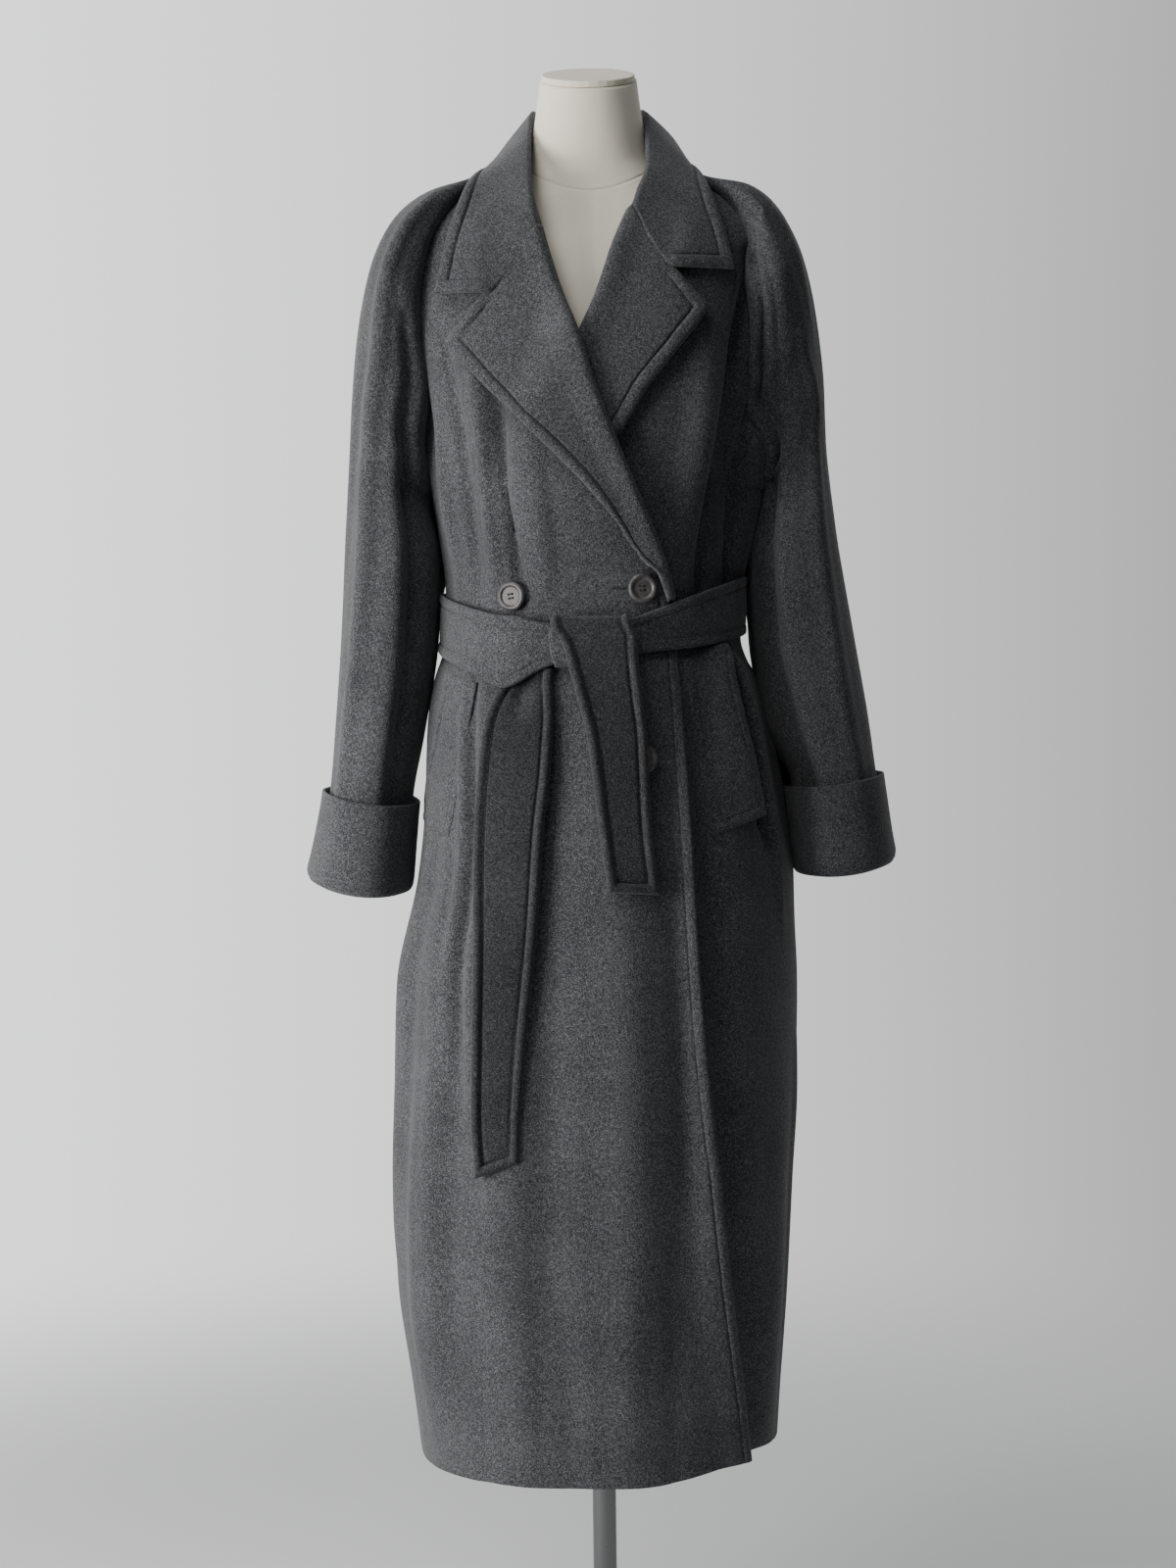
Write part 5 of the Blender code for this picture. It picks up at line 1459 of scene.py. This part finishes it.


# %% Make the belt's ends and knot
# The two hanging ends wear the darker wool copy: painted shade where they turn away from the light.
for node, rows, slant, lean, dip, flat_size, thickness, cloth, stitched in (
    ("belt_tail_short", SHORT_TAIL_ROWS, -0.06, 0.12, 0.0, (0.056, 0.29), FACED, painted_shade_wool, True),
    ("belt_tail_long", LONG_TAIL_ROWS, 0.40, 0.26, 0.005, (0.056, 0.45), FACED, painted_shade_wool, True),
    ("belt_knot", KNOT_ROWS, 0.0, 0.0, 0.0, (0.069, 0.05), 0.006, wool, False),
):
    surface = strip_surface(rows, slant, lean, dip)
    places = row_places(lambda t: surface(t, 0.5 + 0 * t), BELT_STEP, PLAIN_STEPS, EDGE_STEPS)
    points = surface(places, np.broadcast_to(belt_edges, (len(places), len(belt_edges))))
    raised = border(edge_distance(points, "bottom", "first", "last"), *END_BORDER, width=END_GROOVE)
    piece, outer, normal = wall(
        f"{node}_cloth", points, thickness, cloth, out=raised * stitched, flip=True
    )
    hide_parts(node)
    if stitched:
        far = run(points, 1)
        for distance in (0 * far[:, 0] + STITCH_LINE, far[:, -1] - STITCH_LINE):
            line = line_across(outer, far, distance)
            belt_stitches.append((line[:-k], normal[:-k, outer.shape[1] // 2]))
        belt_stitches.append((outer[-1 - k, k:-k], normal[-1 - k, k:-k]))

# %% [markdown]
# ## Pocket welts
#
# Each slanted pocket has a welt, a folded strip that is sewn down along its inner edge and
# open along the outer one. A flat box would stand off the rounded hip, so the welt is a part
# of the body surface between two slanted lines, moved out. It follows only a quarter of the
# creases, as a double strip does. The left one's mouth stands open beside its slit.

# %% Pocket welts
WELT_THICKNESS = 0.0030
WELT_STEP = 0.0036
WELT_ROWS = (
    # outer_x, outer_z, inner_x, inner_z
    (0.1130, 0.974, 0.0760, 0.962),
    (0.1225, 0.930, 0.0850, 0.917),
    (0.1350, 0.868, 0.0970, 0.853),
    (0.1450, 0.819, 0.1070, 0.803),
)
RIGHT_WELT_START = 0.16   # the belt hides this share of the right welt's length
RIGHT_WELT_ASIDE = 0.017  # the right welt lies further round to the side,
RIGHT_WELT_SHOWN = 0.80   # so less of its width shows from the front
WELT_SUNK = 0.0008        # the inner edge is sewn down flush
WELT_OPEN = 0.0080        # the left pocket's mouth stands open
WELT_CREASED = 0.25
WELT_BORDER = (0.0005, 0.0005)


def welt_surface(side, start, lift):
    """Welt between its two slanted long edges: place runs down, share from inner to outer."""
    shown, aside, mouth = (RIGHT_WELT_SHOWN, RIGHT_WELT_ASIDE, 0.0) if side < 0 else (1.0, 0.0, WELT_OPEN)

    def surface(place, share):
        row = (start + (1 - start) * place) * (len(WELT_ROWS) - 1)
        outer_x, outer_z, inner_x, inner_z = at_row(WELT_ROWS, row)
        inner_x = outer_x - shown * (outer_x - inner_x)
        across = side * (outer_x * share + inner_x * (1 - share) + aside)
        height = outer_z * share + inner_z * (1 - share)
        out = WELT_SUNK + mouth * ramp(0.35, 1.0, share) + lift(across, height)
        return body(around_at(across, height), height, out, WELT_CREASED)
    return surface


# %% Make the welts
welt_stitches = []
for word, side, start, lift in (("right", -1, RIGHT_WELT_START, overlap), ("left", 1, 0.0, sunk)):
    surface = welt_surface(side, start, lift)
    places = row_places(lambda t: surface(t, 0.5 + 0 * t), WELT_STEP, EDGE_STEPS, EDGE_STEPS)
    points, _, _ = by_distance(
        surface, places, lambda lengths: spaced(lengths, WELT_STEP, EDGE_STEPS, EDGE_STEPS)
    )
    raised = border(edge_distance(points, "top", "bottom", "first", "last"), *WELT_BORDER)
    piece, outer, normal = wall(
        f"pocket_welt_{word}_cloth", points, WELT_THICKNESS, wool, out=raised, flip=side > 0
    )
    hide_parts(f"pocket_welt_{word}")
    for edge in (k, -1 - k):
        welt_stitches.append((outer[k:-k, edge], normal[k:-k, edge]))

# %% [markdown]
# ## Thread
#
# The buttons are sewn on through four holes, the left upper one has a worked buttonhole, and
# every edge carries a row of topstitches. A bump line would look flat from the side, and a
# curve for each stitch would make hundreds of objects. So each kind of stitch is one joined
# mesh of small six-sided bars, laid along lines that were kept when the pieces were made.

# %% Thread of the buttons and the worked buttonhole
BUTTONS = ("button_1", "button_2", "button_3", "button_4")
HOLE_SPREAD = 0.0026     # from the button's middle to each of its four holes
HOLE_TURN = 52.5         # degrees from level to the first hole
SUNK_MIDDLE = 0.66       # height of the middle as a share of the thickness
BUTTON_THREAD = 0.0006
BUTTONHOLE = (0.0150, 0.0330, 1.0237)    # inner end, outer end, height
BUTTONHOLE_HALF = np.array((0.0, 0.0, 0.0012))


def button_thread(item):
    """Start, end and normal of the two bars that cross a button's middle from hole to hole."""
    points = np.empty(3 * len(item.data.vertices))
    item.data.vertices.foreach_get("co", points)
    turn = np.array(item.matrix_world)
    points = points.reshape(-1, 3) @ turn[:3, :3].T + turn[:3, 3]
    middle = (points.min(axis=0) + points.max(axis=0)) / 2
    facing = np.linalg.svd(points - points.mean(axis=0), full_matrices=False)[2][-1]
    facing = -facing * np.sign(facing[1])
    level = unit(np.cross((0.0, 0.0, 1.0), facing))
    up = np.cross(facing, level)
    far = (points - middle) @ facing
    top = far.min() + SUNK_MIDDLE * (far.max() - far.min()) + 0.4 * BUTTON_THREAD
    angle = np.radians(HOLE_TURN + 90 * np.arange(4))[:, None]
    holes = middle + facing * top + HOLE_SPREAD * (level * np.cos(angle) + up * np.sin(angle))
    return holes[[0, 2]], holes[[1, 3]], np.stack((facing, facing))


# %% Make the thread
thread_bars(
    "thread_buttons", [button_thread(frame["nodes"][name]) for name in BUTTONS], BUTTON_THREAD, thread
)
across = np.linspace(*BUTTONHOLE[:2], 25)
height = np.full_like(across, BUTTONHOLE[2])
place = around_at(across, height)
normal = outward(folded, place, height)
path = body(place, height, overlap(across, height) + CLOTH / 2 + 0.0002)
thread_bars("thread_buttonhole", [
    (path[:-1] - BUTTONHOLE_HALF, path[1:] + BUTTONHOLE_HALF, normal[1:]),
    (path[1:] - BUTTONHOLE_HALF, path[:-1] + BUTTONHOLE_HALF, normal[1:]),
], STITCH_RADIUS, thread)

# %% Rows of stitches
for word, rows in (
    ("front", front_stitches), ("cuffs", cuff_stitches), ("collar", collar_stitches),
    ("lapels", lapel_stitches), ("belt", belt_stitches), ("welts", welt_stitches),
):
    stitch_rows(f"stitches_{word}", rows, thread)

# %% [markdown]
# ## Dress form and stand
#
# The form is a hard shell covered with stretched linen, without head or limbs, and its neck
# leans forward. Sculpting could give it, but ovals through a table keep it smooth and safely
# inside the coat. The seams of its cover, down the middle of the front and round the neck,
# are shallow grooves. Cap, pole, fittings, base and buttons are plain hard pieces that the
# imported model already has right, so they stay and only get their materials.

# %% Sizes of the form
FORM_ROWS = (
    # height, half_width, front, back, tilt
    (0.720, 0.132, 0.084, 0.100, 0.0),
    (0.735, 0.142, 0.092, 0.109, 0.0),
    (0.780, 0.146, 0.097, 0.116, 0.0),
    (0.840, 0.142, 0.096, 0.114, 0.0),
    (0.900, 0.128, 0.088, 0.100, 0.0),
    (0.960, 0.112, 0.080, 0.083, 0.0),
    (1.000, 0.106, 0.078, 0.076, 0.0),
    (1.060, 0.114, 0.088, 0.083, 0.0),
    (1.130, 0.128, 0.104, 0.094, 0.0),
    (1.190, 0.137, 0.110, 0.102, 0.0),
    (1.250, 0.143, 0.107, 0.107, 0.0),
    (1.300, 0.151, 0.097, 0.105, 0.0),
    (1.335, 0.160, 0.082, 0.098, 0.0),
    (1.364, 0.151, 0.0640, 0.090, 0.0),
    (1.381, 0.128, 0.0555, 0.082, 1.0),
    (1.393, 0.106, 0.0505, 0.076, 3.0),
    (1.404, 0.088, 0.0470, 0.070, 7.0),
    (1.414, 0.075, 0.0445, 0.065, 11.0),
    (1.424, 0.066, 0.0430, 0.060, 15.0),
    (1.434, 0.060, 0.0420, 0.056, 19.0),
    (1.443, 0.0565, 0.0415, 0.052, 22.0),
    (1.475, 0.0500, 0.0470, 0.041, 23.0),
    (1.507, 0.0455, 0.051, 0.032, 24.0),
)
FORM_SQUARE = 2.15
FORM_GRID = (241, 192)   # rows and columns
SEAM_DEPTH = 0.0010
SEAM_WIDTH = 0.0011
NECK_SEAM = 1.3965       # height of the neck seam in front; it rises with 7.2 x^2
NECK_SEAM_BACK = 0.05    # and lies this much higher behind
NECK_START = 1.36
print("form:", len(FORM_ROWS), "rows from", FORM_ROWS[0][0], "to", FORM_ROWS[-1][0], "m")


# %% Surface of the form
def form_surface(place, share):
    """Closed form: place runs up its rows, share goes once round from the front."""
    height, half, front, back, tilt = at_row(FORM_ROWS, place * (len(FORM_ROWS) - 1))
    angle = 2 * np.pi * share
    across = half * power(np.sin(angle), 2 / FORM_SQUARE)
    deep = -power(np.cos(angle), 2 / FORM_SQUARE) * np.where(np.cos(angle) > 0, front, back)
    rise = height + np.tan(np.radians(tilt)) * (deep - (back - front) / 2)
    return np.stack(np.broadcast_arrays(across, deep, rise), axis=-1)


def end_fan(ring, middle):
    """Four-cornered faces that close a ring of point numbers round a middle point."""
    ring = np.append(ring, ring[0])
    return np.stack((ring[:-2:2], ring[1:-1:2], ring[2::2], np.full(len(ring) // 2, middle)), axis=-1)


# %% Make the form
rows, columns = FORM_GRID
points = form_surface(np.linspace(0, 1, rows)[:, None], np.linspace(0, 1, columns + 1)[None, :-1])
normal = grid_normals(points, ring=True)
across, deep, up = np.moveaxis(points, -1, 0)
neckline = NECK_SEAM + 7.2 * across ** 2 + NECK_SEAM_BACK * (deep > 0)
middle_seam = bell(across, SEAM_WIDTH) * (up < neckline)
neck_seam = bell(up - neckline, SEAM_WIDTH) * (up > NECK_START)
points = points - normal * (SEAM_DEPTH * np.clip(middle_seam + neck_seam, 0, 1))[..., None]
numbers = np.arange(rows * columns).reshape(rows, columns)
verts = np.concatenate((points.reshape(-1, 3), points[[0, -1]].mean(axis=1)))
faces = np.concatenate((
    grid_faces(numbers, ring=True), end_fan(numbers[0], numbers.size)[:, ::-1],
    end_fan(numbers[-1], numbers.size + 1),
))
piece = mesh_piece("form_body_linen", verts, faces, linen)
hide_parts("form_body")
print("form:", len(faces), "faces")

# %% Materials of the solids that stay
for paint, names in (
    (linen, ("form_neck_cap",)),
    (steel, ("stand_base", "stand_socket", "stand_flange", "stand_pole")),
    (horn, BUTTONS),
):
    for name in names:
        for slot in frame["nodes"][name].material_slots:
            slot.material = paint
    print(paint.name, "on", ", ".join(names))
